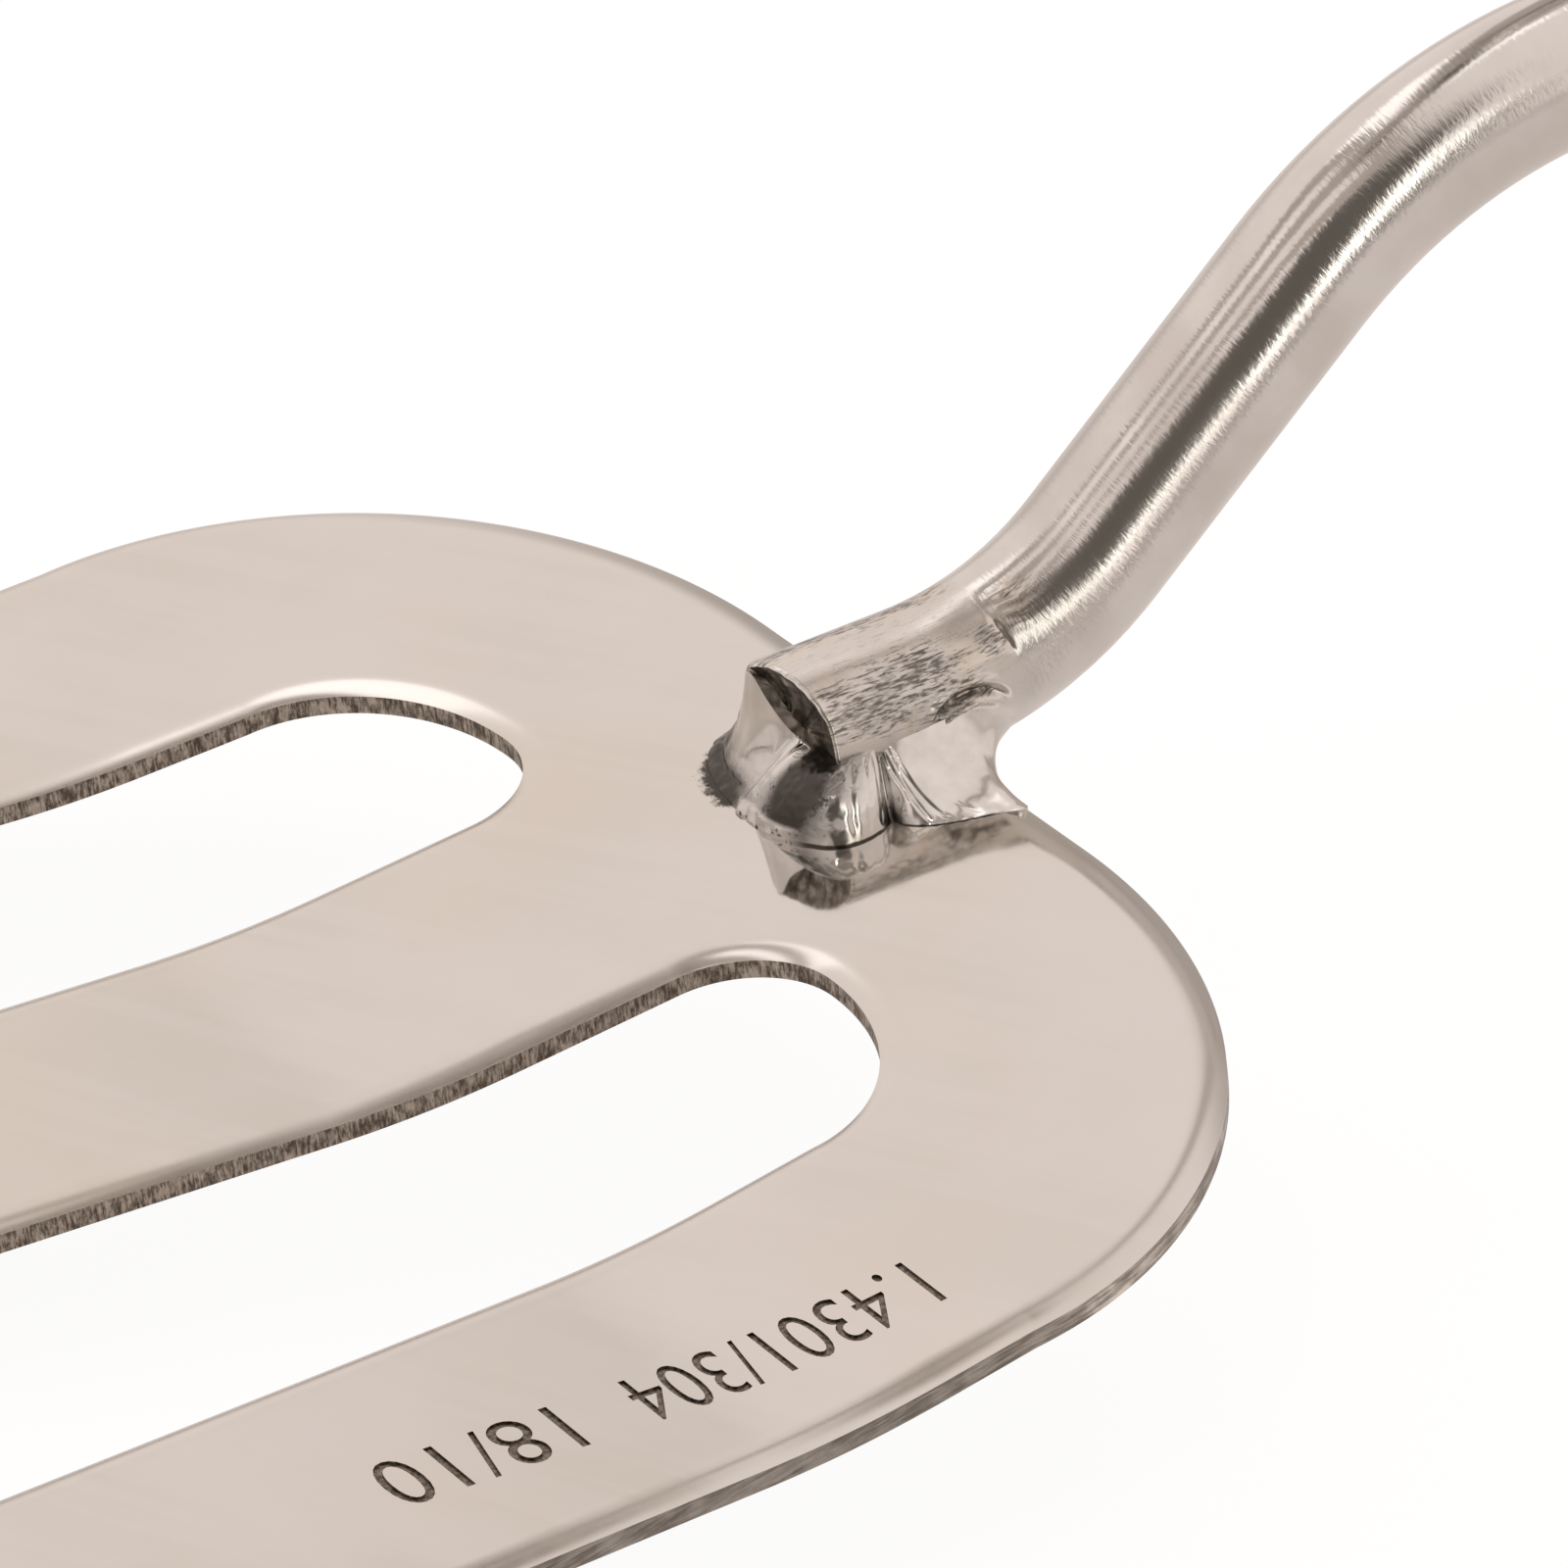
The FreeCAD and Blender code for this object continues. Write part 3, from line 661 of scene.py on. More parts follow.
@dataclass
class JawPlate:
    """Punched, bent and polished sheet with three tines, sizes in millimetres and degrees."""

    thickness: float = 1.5
    half_width: float = 44.3
    reach: float = 115.0
    rear_half: float = 13.8
    corner_depth: float = 24.7
    bend_start: float = 30.0
    bend_radius: float = 72.0
    bend_angle: float = 8.4
    splay: float = 4.6
    tip_radius: float = 7.0
    slot_start: float = 15.5
    centre_half: float = 9.1
    slot_width: float = 16.2
    inner_corner: tuple[float, float] = (5.5, 5.2)
    outer_corner: tuple[float, float] = (8.6, 11.0)
    roll_width: float = 2.0
    roll_depth: float = 0.42
    roll_steps: int = 11
    roll_spread: float = 1.6
    roll_curve: float = 2.4
    rim_curve: float = 0.42
    wall_slope: float = 0.45
    slots_half: float = 34.0
    burr_width: float = 0.12
    burr_height: float = 0.072
    bend_step: float = 0.5
    stamp_words: tuple[str, str] = ("1.4301/304", "18/10")
    stamp_height: float = 3.9
    stamp_depth: float = 0.11
    stamp_centre_y: float = -38.1
    stamp_weight: float = -0.012
    stamp_room: tuple[float, float] = (-58.0, -25.0)
    stamp_spans: tuple[tuple[float, float], tuple[float, float]] = ((-26.6, -42.6), (-46.2, -56.0))

    def splayed(self, y: float, x_from: float, x_to: float) -> float:
        """The y of an edge that splays outwards towards the tips."""
        return y + (x_from - x_to) * math.tan(math.radians(self.splay))

    def half_outline(self) -> list[Vector]:
        """Outline of the far half, from the rear edge's middle to the centre tine's tip."""
        tip = -self.reach
        outer = self.centre_half + self.slot_width
        tip_outer = self.splayed(self.half_width, -self.corner_depth, tip)
        slot_tip = self.splayed(outer, -self.slot_start - self.outer_corner[0], tip)
        corner_start = Vector((-self.corner_depth, self.half_width))
        slot_side = Vector((-self.slot_start - self.outer_corner[0], outer))
        points = [Vector((0.0, 0.0))]
        points += arc_points((-self.corner_depth, self.rear_half),
                             (self.corner_depth, self.half_width - self.rear_half), 0, 90, 110)
        points += rounded_corner(corner_start, Vector((tip, tip_outer)), Vector((tip, slot_tip)),
                                 self.tip_radius, 24)
        points += rounded_corner(Vector((tip, tip_outer)), Vector((tip, slot_tip)), slot_side,
                                 self.tip_radius, 24)
        points += arc_points((slot_side.x, outer - self.outer_corner[1]), self.outer_corner, 90, 0, 48)
        inner_middle = (-self.slot_start - self.inner_corner[0], self.centre_half + self.inner_corner[1])
        points += arc_points(inner_middle, self.inner_corner, 0, -90, 32)
        points += rounded_corner(Vector((-self.slot_start, self.centre_half)),
                                 Vector((tip, self.centre_half)), Vector((tip, 0.0)), self.tip_radius, 24)
        return points

    def outline(self) -> list[Vector]:
        """Whole outline, far half then near half, without doubled points."""
        far = self.half_outline()
        near = [Vector((p.x, -p.y)) for p in reversed(far[1:])]
        loop: list[Vector] = []
        for point in far + near:
            if not loop or (point - loop[-1]).length > 1e-3:
                loop.append(point)
        return loop

    def lift(self, x: float) -> tuple[float, float]:
        """Height of the inner face over the root's plane, and the cosine of its slope, at x."""
        ahead = -x - self.bend_start
        if ahead <= 0.0:
            return 0.0, 1.0
        bend = math.radians(self.bend_angle)
        bend_run = self.bend_radius * math.sin(bend)
        if ahead < bend_run:
            slope = math.asin(ahead / self.bend_radius)
            return self.bend_radius * (1.0 - math.cos(slope)), math.cos(slope)
        rise = self.bend_radius * (1.0 - math.cos(bend))
        return rise + (ahead - bend_run) * math.tan(bend), math.cos(bend)

    def flat_blank(self) -> bmesh.types.BMesh:
        """Flat blank with its edges rolled down on the inner side by the punch, and a small burr outside."""
        bm = bmesh.new()
        verts = [bm.verts.new((p.x, p.y, -self.thickness)) for p in self.outline()]
        base = bm.faces.new(verts)
        top = bmesh.ops.extrude_face_region(bm, geom=[base])
        top_face = next(f for f in top["geom"] if isinstance(f, bmesh.types.BMFace))
        for vert in top_face.verts:
            vert.co.z = -self.roll_depth
        done = 0.0
        for step in range(1, self.roll_steps + 1):
            reach = self.roll_width * (step / self.roll_steps) ** self.roll_spread
            bmesh.ops.inset_region(bm, faces=[top_face], thickness=reach - done, use_even_offset=True)
            done = reach
            height = -self.roll_depth * (1.0 - reach / self.roll_width) ** self.roll_curve
            for vert in top_face.verts:
                vert.co.z = height
        bmesh.ops.recalc_face_normals(bm, faces=bm.faces)
        base = min(bm.faces, key=lambda f: (f.calc_center_median().z, -f.calc_area()))
        bmesh.ops.inset_region(bm, faces=[base], thickness=self.burr_width, use_even_offset=True)
        for vert in base.verts:
            vert.co.z = -self.thickness
        rim = {v for f in bm.faces if f is not base for v in f.verts if abs(v.co.z + self.thickness) < 1e-6}
        for vert in rim - set(base.verts):
            vert.co.z += self.burr_height
        return bm

    def stamp_cutter(self) -> bpy.types.Object:
        """Solid digits that sink into the near tine, read from the tips' side."""
        bm = bmesh.new()
        for word, (start, end) in zip(self.stamp_words, self.stamp_spans):
            curve = bpy.data.curves.new("stamp", "FONT")
            curve.body = word
            curve.size = self.stamp_height
            curve.extrude = 1.0
            curve.resolution_u = 5
            curve.offset = self.stamp_weight
            text = new_object("stamp", curve)
            piece = bmesh.new()
            piece.from_mesh(evaluated_mesh(text))
            bpy.data.objects.remove(text)
            bmesh.ops.remove_doubles(piece, verts=piece.verts, dist=1e-4)
            xs = [v.co.x for v in piece.verts]
            ys = [v.co.y for v in piece.verts]
            width, height = max(xs) - min(xs), max(ys) - min(ys)
            scale = Matrix.Diagonal((-(start - end) / width, -self.stamp_height / height, 1.0, 1.0))
            bmesh.ops.translate(piece, verts=piece.verts,
                                vec=(-(max(xs) + min(xs)) / 2, -(max(ys) + min(ys)) / 2, 0.0))
            bmesh.ops.transform(piece, matrix=scale, verts=piece.verts)
            bmesh.ops.translate(piece, verts=piece.verts,
                                vec=((start + end) / 2, self.stamp_centre_y, 1.0 - self.stamp_depth))
            bmesh.ops.recalc_face_normals(piece, faces=piece.faces)
            bm.from_mesh(mesh_of("stamp_word", piece))
        return new_object("stamp_cutter", mesh_of("stamp_cutter", bm))

    def build(self, half: Half, finishes: Finishes) -> bpy.types.Object:
        """Make the plate of one half.

        Args:
            half: The half that it belongs to.
            finishes: Source of the materials.

        Returns:
            The finished piece.
        """
        blank = new_object("blank", mesh_of("blank", self.flat_blank()))
        cutter = self.stamp_cutter()
        cut = blank.modifiers.new("Stamp", "BOOLEAN")
        cut.object = cutter
        cut.operation = "DIFFERENCE"
        cut.solver = "EXACT"
        mesh = evaluated_mesh(blank)
        bpy.data.objects.remove(blank)
        bpy.data.objects.remove(cutter)
        bm = bmesh.new()
        bm.from_mesh(mesh)
        bend_run = self.bend_radius * math.sin(math.radians(self.bend_angle))
        for step in range(int(bend_run / self.bend_step) + 1):
            place = -self.bend_start - min(step * self.bend_step, bend_run)
            bmesh.ops.bisect_plane(bm, geom=bm.verts[:] + bm.edges[:] + bm.faces[:], dist=1e-5,
                                   plane_co=(place, 0.0, 0.0), plane_no=(1.0, 0.0, 0.0))
        bmesh.ops.remove_doubles(bm, verts=bm.verts, dist=5e-4)
        bmesh.ops.holes_fill(bm, edges=open_edges(bm), sides=0)
        bm.normal_update()
        for face in bm.faces:
            middle = face.calc_center_median()
            beside = abs(middle.y - self.stamp_centre_y) < self.stamp_height * 0.6
            in_stamp = beside and self.stamp_room[0] < middle.x < self.stamp_room[1]
            if in_stamp and -self.stamp_depth - 0.01 < middle.z < -0.005:
                face.material_index = Face.STAMP.value
            elif abs(face.normal.z) < self.wall_slope:
                in_slot = middle.x < -self.slot_start + 0.5 and abs(middle.y) < self.slots_half
                face.material_index = Face.SLOT_WALL.value if in_slot else Face.OUTER_WALL.value
        rim = bm.verts.layers.float.new("rim")
        for vert in bm.verts:
            if -self.roll_depth - 1e-3 < vert.co.z < -1e-4:
                vert[rim] = min(-vert.co.z / self.roll_depth, 1.0) ** self.rim_curve
            rise, slope = self.lift(vert.co.x)
            vert.co.z = rise + vert.co.z / slope
        materials = [finishes.polished(half), finishes.sheared(half), finishes.stamped(half),
                     finishes.deburred(half)]
        return finished(half.name + "_polished_jaw", bm, half.matrix, materials)


# ---------------------------------------------------------------------------------------------
# Arm
# ---------------------------------------------------------------------------------------------


@dataclass
class RodRing:
    """One ring of the rod: its middle, its directions and its distance past the stub's root."""

    middle: Vector
    forward: Vector
    left: Vector
    up: Vector
    along: float


@dataclass(frozen=True)
class CrescentCut:
    """Curved cut in the stub beside the weld, in millimetres along the rod and round it.

    The waves are rings about the cut's middle: offset from the cut, width and height.
    """

    along: float = 0.55
    arc: float = -1.35
    squash: float = 0.92
    radius: float = 2.35
    waves: tuple[tuple[float, float, float], ...] = (
        (0.0, 0.24, -0.42), (0.52, 0.2, 0.14), (-0.5, 0.16, 0.12), (-0.95, 0.1, -0.05),
        (-1.35, 0.1, -0.05), (-1.75, 0.1, -0.05))
    arc_start: tuple[float, float] = (-0.5, 0.1)
    # Painted shade along the cut, for its dark reflection: ring radius, width and strength.
    groove_shade_radius: float = 2.30
    groove_shade_width: float = 0.24
    soot_and_shade: float = 1.2

    def distance(self, along: float, arc: float) -> float:
        """Distance of a place from the cut's middle."""
        return math.hypot((along - self.along) * self.squash, arc - self.arc)

    def relief(self, along: float, arc: float) -> float:
        """Height of the cut and its lips at a place."""
        offset = self.distance(along, arc) - self.radius
        reach = window(along, (-1.9, -0.9), (2.9, 1.9)) * smoothstep(*self.arc_start, arc)
        return reach * sum(height * bell(offset - place, width) for place, width, height in self.waves)

    def smoke(self, along: float, arc: float) -> float:
        """How much painted shade darkens the cut at a place, standing for its dark reflection."""
        reach = window(along, (-1.9, -1.0), (2.4, 1.4)) * smoothstep(*self.arc_start, arc)
        return self.soot_and_shade * bell(self.distance(along, arc) - self.groove_shade_radius, self.groove_shade_width) * reach


@dataclass(frozen=True)
class DieMark:
    """Step and wrinkles that the bending die left where the stub ends, in millimetres."""

    along: float = 4.15
    bow: float = 0.25
    bow_middle: float = 60.0
    bow_turns: float = 1.5
    line_width: float = 0.2
    line_depth: float = 0.018
    deep_end: float = 0.11
    swell: float = 0.05
    wrinkle_height: float = 0.018
    wrinkle_pitch: float = 10.0
    wrinkle_slant: float = 2.2
    wrinkle_stir: float = 1.2
    stir_scale: float = 0.8

    def relief(self, along: float, angle: float, arc: float) -> float:
        """Height of the mark and of the wrinkles beside it at a place."""
        bow = self.bow * math.cos(math.radians(angle - self.bow_middle) * self.bow_turns)
        mark = along - (self.along - bow)
        depth = self.line_depth + self.deep_end * smoothstep(58.0, 44.0, angle)
        height = self.swell * window(mark, (-6.0, -1.0), (0.4, -0.2)) - depth * bell(mark, self.line_width)
        height *= window(angle, (20.0, 34.0), (112.0, 60.0))
        stir = self.wrinkle_stir * noise.noise(Vector((along, arc, 0.0)) * self.stir_scale)
        wrinkle = math.sin(arc * self.wrinkle_pitch + along * self.wrinkle_slant + stir)
        before = window(along, (1.2, 3.0), (4.2, 3.8)) * window(angle, (22.0, 30.0), (60.0, 46.0))
        past = window(along, (4.4, 5.0), (9.0, 6.0)) * window(angle, (30.0, 42.0), (80.0, 64.0))
        return height + self.wrinkle_height * wrinkle * (before + past)


@dataclass(frozen=True)
class Smudge:
    """Smoked patch with a bell across it and eased ends."""

    strength: float
    middle: float
    width: float
    rise: tuple[float, float]
    fall: tuple[float, float]

    def at(self, across: float, lengthwise: float) -> float:
        """Strength of the patch at a place."""
        ends = window(lengthwise, self.rise, self.fall)
        return self.strength * bell(across - self.middle, self.width) * ends


@dataclass
class ArmRod:
    """The bent rod of one half, sizes in millimetres and degrees."""

    radius: float = 4.0
    stub: float = 8.6
    offset: float = 0.45
    seat: float = 0.95
    yaw: float = 5.6
    front_start: float = -0.6
    front_radius: float = 17.0
    front_bend: float = 39.5
    shank: float = 16.7
    back_radius: float = 27.0
    rise: float = 3.4
    side_radius: float = 30.0
    arm_side: float = 4.15
    to_pivot: float = 24.0
    to_handle: float = 16.0
    handle_radius: float = 45.0
    handle_bend: float = 20.0
    handle_shank: float = 38.0
    grip_radius: float = 60.0
    grip_bend: float = 21.0
    grip: float = 80.0
    eye_inner: float = 0.5
    eye_outer: float = 5.5
    eye_flat: float = 9.0
    eye_shoulder: float = 5.0
    eye_radius: float = 7.0
    eye_round: float = 0.6
    eye_segments: int = 96
    bore: float = 3.05
    segments: int = 192
    stub_step: float = 0.12
    stub_end: float = 6.0
    bend_step: float = 1.1
    cropped_end: tuple[tuple[float, float], ...] = (
        (-180.0, -7.6), (-90.0, -7.2), (0.0, -7.0), (30.0, -6.95), (45.0, -7.12), (57.0, -7.32),
        (68.0, -7.5), (81.0, -7.75), (94.0, -7.98), (104.0, -8.3), (110.0, -8.62), (116.0, -8.35),
        (130.0, -8.0), (180.0, -7.6))
    crescent: CrescentCut = CrescentCut()
    die_mark: DieMark = DieMark()
    smudges_by_angle: tuple[Smudge, ...] = (
        Smudge(0.72, 36.0, 21.0, (-7.4, -6.0), (2.6, -1.4)),
        Smudge(0.40, 112.0, 15.0, (-99.0, -98.0), (5.0, 0.0)),
        Smudge(0.5, 6.0, 9.0, (-3.6, -1.6), (1.6, 0.4)))
    smudges_by_length: tuple[Smudge, ...] = (
        Smudge(0.40, 3.2, 1.0, (24.0, 34.0), (60.0, 50.0)),
        Smudge(0.34, 6.0, 1.4, (30.0, 44.0), (78.0, 66.0)))
    smoke_film: float = 0.12
    smoke_end: float = 9.0
    relief_end: float = 10.0
    straight_end: float = -3.5
    end_round: tuple[float, float] = (0.25, 0.10)
    dome_steps: int = 14
    dish_shares: tuple[float, ...] = (0.965, 0.9, 0.8, 0.69, 0.58, 0.47, 0.36, 0.25, 0.14, 0.05)
    dish_depth: float = 0.85
    dish_grain: float = 0.18
    rings: list[RodRing] = field(default_factory=list)
    pivot: Vector = field(default_factory=Vector)

    def _walk(self) -> None:
        """Lay the rings along the centre line, close together where the rod has detail."""
        yaw = math.radians(-self.yaw)
        ring = RodRing(Vector((0.0, -self.offset, self.radius - self.seat)),
                       Vector((math.cos(yaw), math.sin(yaw), 0.0)),
                       Vector((-math.sin(yaw), math.cos(yaw), 0.0)), Vector((0.0, 0.0, 1.0)), 0.0)
        start = -self.stub
        ring = RodRing(ring.middle + ring.forward * start, ring.forward, ring.left, ring.up, start)
        self.rings = [ring]

        def step_length() -> float:
            """Spacing of the rings at this place."""
            return self.stub_step if self.rings[-1].along < self.stub_end else self.bend_step

        def run(length: float) -> None:
            """Add a straight run."""
            done = 0.0
            while done < length - 1e-6:
                size = min(step_length(), length - done)
                last = self.rings[-1]
                self.rings.append(RodRing(last.middle + last.forward * size, last.forward, last.left,
                                          last.up, last.along + size))
                done += size

        def bend(radius: float, degrees: float, sideways: bool = False) -> None:
            """Add a bend, upwards or to the far side."""
            total = math.radians(abs(degrees))
            sense = math.copysign(1.0, degrees)
            done = 0.0
            while done < total - 1e-6:
                turn = min(step_length() / radius, total - done)
                last = self.rings[-1]
                side = last.left if sideways else last.up
                centre = last.middle + side * (sense * radius)
                axis = last.forward.cross(side) * sense
                spin = Matrix.Rotation(turn, 3, axis)
                self.rings.append(RodRing(centre + spin @ (last.middle - centre), spin @ last.forward,
                                          spin @ last.left, spin @ last.up, last.along + turn * radius))
                done += turn

        run(self.stub + self.front_start)
        bend(self.front_radius, self.front_bend)
        run(self.shank)
        bend(self.back_radius, self.rise - self.front_bend)
        turn = math.radians(self.yaw)
        corner = (self.arm_side - self.offset) / math.tan(turn)
        in_plan = Vector((self.rings[-1].middle.x, self.rings[-1].middle.y + self.offset)).length
        run(max(corner - self.side_radius * math.tan(turn / 2.0) - in_plan, 0.0)
            / math.cos(math.radians(self.rise)))
        bend(self.side_radius, self.yaw, sideways=True)
        run(self.to_pivot)
        self.pivot = self.rings[-1].middle.copy()
        run(self.to_handle)
        bend(self.handle_radius, self.handle_bend)
        run(self.handle_shank)
        bend(self.grip_radius, -self.grip_bend)
        run(self.grip)

    def end_reach(self, angle: float) -> float:
        """How far forward the cropped end reaches at an angle round the stub."""
        for (a, low), (b, high) in zip(self.cropped_end, self.cropped_end[1:]):
            if a <= angle <= b:
                return mix(low, high, smoothstep(a, b, angle))
        return self.cropped_end[0][1]

    def relief(self, along: float, angle: float) -> float:
        """Dents and ridges on the stub, outwards positive.

        Args:
            along: Distance past the stub's root.
            angle: Angle round the rod, 0 at the near side and 90 on top.

        Returns:
            Height of the relief.
        """
        arc = math.radians(angle) * self.radius
        return self.crescent.relief(along, arc) + self.die_mark.relief(along, angle, arc)

    def shoulder(self, ring: RodRing, y: float) -> float:
        """Squeeze a point's y into the pressed flat round the pivot."""
        away = abs(ring.middle.x - self.pivot.x)
        share = smoothstep(self.eye_flat + self.eye_shoulder, self.eye_flat, away)
        if share <= 0.0:
            return y
        flat = min(max(y, -self.eye_outer), -self.eye_inner)
        return mix(y, flat, share)

    def build(self, half: Half, finishes: Finishes) -> bpy.types.Object:
        """Make the arm of one half.

        Args:
            half: The half that it belongs to.
            finishes: Source of the materials.

        Returns:
            The finished piece.
        """
        self._walk()
        bm = bmesh.new()
        straight = bm.verts.layers.float_vector.new("straight")
        smoke = bm.verts.layers.float.new("smoke")
        ring_verts = list(bmesh.ops.create_circle(bm, segments=self.segments, radius=1.0)["verts"])
        edges = first_edges = list(bm.edges)
        angles = [math.degrees(math.atan2(v.co.y, v.co.x)) for v in ring_verts]
        self._place(ring_verts, angles, self.rings[0], straight, smoke)
        for ring in self.rings[1:]:
            new_verts, edges = extruded(bm, edges)
            previous = {vert: index for index, vert in enumerate(ring_verts)}
            for vert in new_verts:
                old = next(e.other_vert(vert) for e in vert.link_edges if e.other_vert(vert) in previous)
                ring_verts[previous[old]] = vert
            self._place(ring_verts, angles, ring, straight, smoke)
        self._cap_handle(bm, edges, straight)
        self._cap_end(bm, first_edges)
        bmesh.ops.recalc_face_normals(bm, faces=bm.faces)
        materials = [finishes.drawn(half), finishes.torn(half)]
        rod = finished(half.name + "_bent_arm", bm, Matrix.Identity(4), materials, ARM_SHARP)
        return self._with_eye(rod, half)

    def _place(self, verts: Sequence[bmesh.types.BMVert], angles: Sequence[float], ring: RodRing,
               straight: object, smoke: object) -> None:
        """Set one ring's vertices on the rod's surface, with the attributes that its finish reads."""
        for vert, angle in zip(verts, angles):
            turn = math.radians(angle)
            along = ring.along
            shift = 0.0
            if along < self.straight_end:
                share = (along - self.straight_end) / (-self.straight_end - self.stub)
                shift = mix(self.straight_end, self.end_reach(angle), share) - along
                along += shift
            radius = self.radius
            if ring.along < self.relief_end:
                radius += self.relief(along, angle)
                edge = smoothstep(self.end_round[0] - self.stub, -self.stub, ring.along)
                radius -= self.end_round[1] * edge * edge
            spot = ring.middle + ring.forward * shift
            spot = spot - ring.left * (radius * math.cos(turn)) + ring.up * (radius * math.sin(turn))
            if ring.along < self.relief_end:
                spot.z = max(spot.z, 0.0)
            spot.y = self.shoulder(ring, spot.y)
            vert.co = spot
            vert[straight] = Vector((along, -self.radius * math.cos(turn), self.radius * math.sin(turn)))
            vert[smoke] = self.smoke_at(along, angle)

    def smoke_at(self, along: float, angle: float) -> float:
        """How smoked the stub is at a place, from 0 to 1, with painted shade in the crescent cut."""
        if along > self.smoke_end:
            return 0.0
        smoke = sum(smudge.at(angle, along) for smudge in self.smudges_by_angle)
        smoke += sum(smudge.at(along, angle) for smudge in self.smudges_by_length)
        smoke += self.crescent.smoke(along, math.radians(angle) * self.radius)
        film = smoothstep(4.4, 3.6, along) * window(angle, (0.0, 20.0), (150.0, 120.0))
        return min(smoke + self.smoke_film * film, 1.0)

    def _cap_handle(self, bm: bmesh.types.BMesh, edges: list, straight: object) -> None:
        """Close the handle's end with a dome."""
        ring = self.rings[-1]
        before = 0.0
        for step in range(1, self.dome_steps + 1):
            turn = math.radians(90.0 * step / self.dome_steps)
            moved, edges = extruded(bm, edges)
            squeeze = max(math.cos(turn) / math.cos(before), 1e-4)
            advance = self.radius * (math.sin(turn) - math.sin(before))
            base = ring.middle + ring.forward * (self.radius * math.sin(before))
            for vert in moved:
                vert.co = base + (vert.co - base) * squeeze + ring.forward * advance
                vert[straight] = vert[straight] + Vector((advance, 0.0, 0.0))
            before = turn
        bmesh.ops.pointmerge(bm, verts=moved, merge_co=ring.middle + ring.forward * self.radius)

    def _cap_end(self, bm: bmesh.types.BMesh, edges: list) -> None:
        """Close the cropped end with a torn, dished face."""
        centre = sum((v.co for e in edges for v in e.verts), Vector()) / (2 * len(edges))
        inward = self.rings[0].forward
        before = 1.0
        for share in self.dish_shares:
            moved, edges = extruded(bm, edges)
            for face in {f for v in moved for f in v.link_faces}:
                face.material_index = 1
            dish = self.dish_depth * (before ** 2 - share ** 2)
            for vert in moved:
                vert.co = centre + (vert.co - centre) * (share / before) + inward * dish
                if before < 1.0:
                    grain = noise.noise(vert.co * 1.1) * 0.5 + noise.noise(vert.co * 2.9) * 0.25
                    vert.co += inward * (grain * self.dish_grain)
            before = share
        bmesh.ops.pointmerge(bm, verts=moved, merge_co=centre + inward * 0.8)

    def _with_eye(self, rod: bpy.types.Object, half: Half) -> bpy.types.Object:
        """Add the pressed eye's rounded sides and drill the bolt's bore."""
        thickness = self.eye_outer - self.eye_inner
        middle = Vector((self.pivot.x, -(self.eye_inner + self.eye_outer) / 2.0, self.pivot.z))
        disc = bmesh.new()
        bmesh.ops.create_cone(disc, cap_ends=True, segments=self.eye_segments, radius1=self.eye_radius,
                              radius2=self.eye_radius, depth=thickness)
        rims = [edge for edge in disc.edges
                if abs(edge.link_faces[0].normal.z - edge.link_faces[1].normal.z) > 0.5]
        bmesh.ops.bevel(disc, geom=rims, offset=self.eye_round, offset_type="OFFSET", segments=5,
                        profile=0.5, affect="EDGES", material=-1)
        stand = Matrix.Translation(middle) @ Matrix.Rotation(math.radians(90.0), 4, "X")
        bmesh.ops.transform(disc, matrix=stand, verts=disc.verts)
        drill = bmesh.new()
        bmesh.ops.create_cone(drill, cap_ends=True, segments=self.eye_segments, radius1=self.bore,
                              radius2=self.bore, depth=4.0 * thickness)
        bmesh.ops.transform(drill, matrix=stand, verts=drill.verts)
        tools = []
        for name, shape, operation in (("eye_disc", disc, "UNION"), ("eye_drill", drill, "DIFFERENCE")):
            tool = new_object(name, mesh_of(name, shape))
            cut = rod.modifiers.new(name, "BOOLEAN")
            cut.object = tool
            cut.operation = operation
            cut.solver = "EXACT"
            tools.append(tool)
        rod.modifiers.remove(rod.modifiers["Even shading"])
        mesh = evaluated_mesh(rod)
        for tool in tools:
            bpy.data.objects.remove(tool)
        name = rod.name
        bpy.data.objects.remove(rod)
        mesh.transform(half.matrix)
        mesh.shade_smooth()
        mesh.set_sharp_from_angle(angle=math.radians(EYE_SHARP))
        return new_object(name, mesh)


# ---------------------------------------------------------------------------------------------
# Weld
# ---------------------------------------------------------------------------------------------


@dataclass(frozen=True)
class WeldStation:
    """One cut through the weld, from the rod to its toe.

    The inner point is on the rod or on its cropped end, the waist is where the skin passes halfway
    down, and the toe is on the plate.  Burn and shade give how far the metal is darkened at those
    three places: burnt metal, and on the front bead also painted shade for its dark reflection.
    """

    inner: tuple[float, float, float]
    waist: tuple[float, float, float]
    toe: tuple[float, float, float]
    burn: tuple[float, float, float] = (0.0, 0.0, 0.1)

    def row(self) -> list[float]:
        """All the numbers of the station, for blending with its neighbours."""
        return [*self.inner, *self.waist, *self.toe, *self.burn]


@dataclass(frozen=True)
class FrozenLine:
    """A line frozen into the pool, which runs from one station place at the rod to one at the toe."""

    top: float
    bottom: float
    width: float
    depth: float
    start: float = 0.08
    end: float = 0.92
    fade: float = 0.12

    def height(self, place: float, down: float) -> float:
        """Height of the line's relief at a place, outwards positive."""
        centre = mix(self.top, self.bottom, down ** 1.5)
        shown = window(down, (self.start, self.start + self.fade), (self.end, self.end - self.fade))
        return -self.depth * bell(place - centre, self.width) * shown


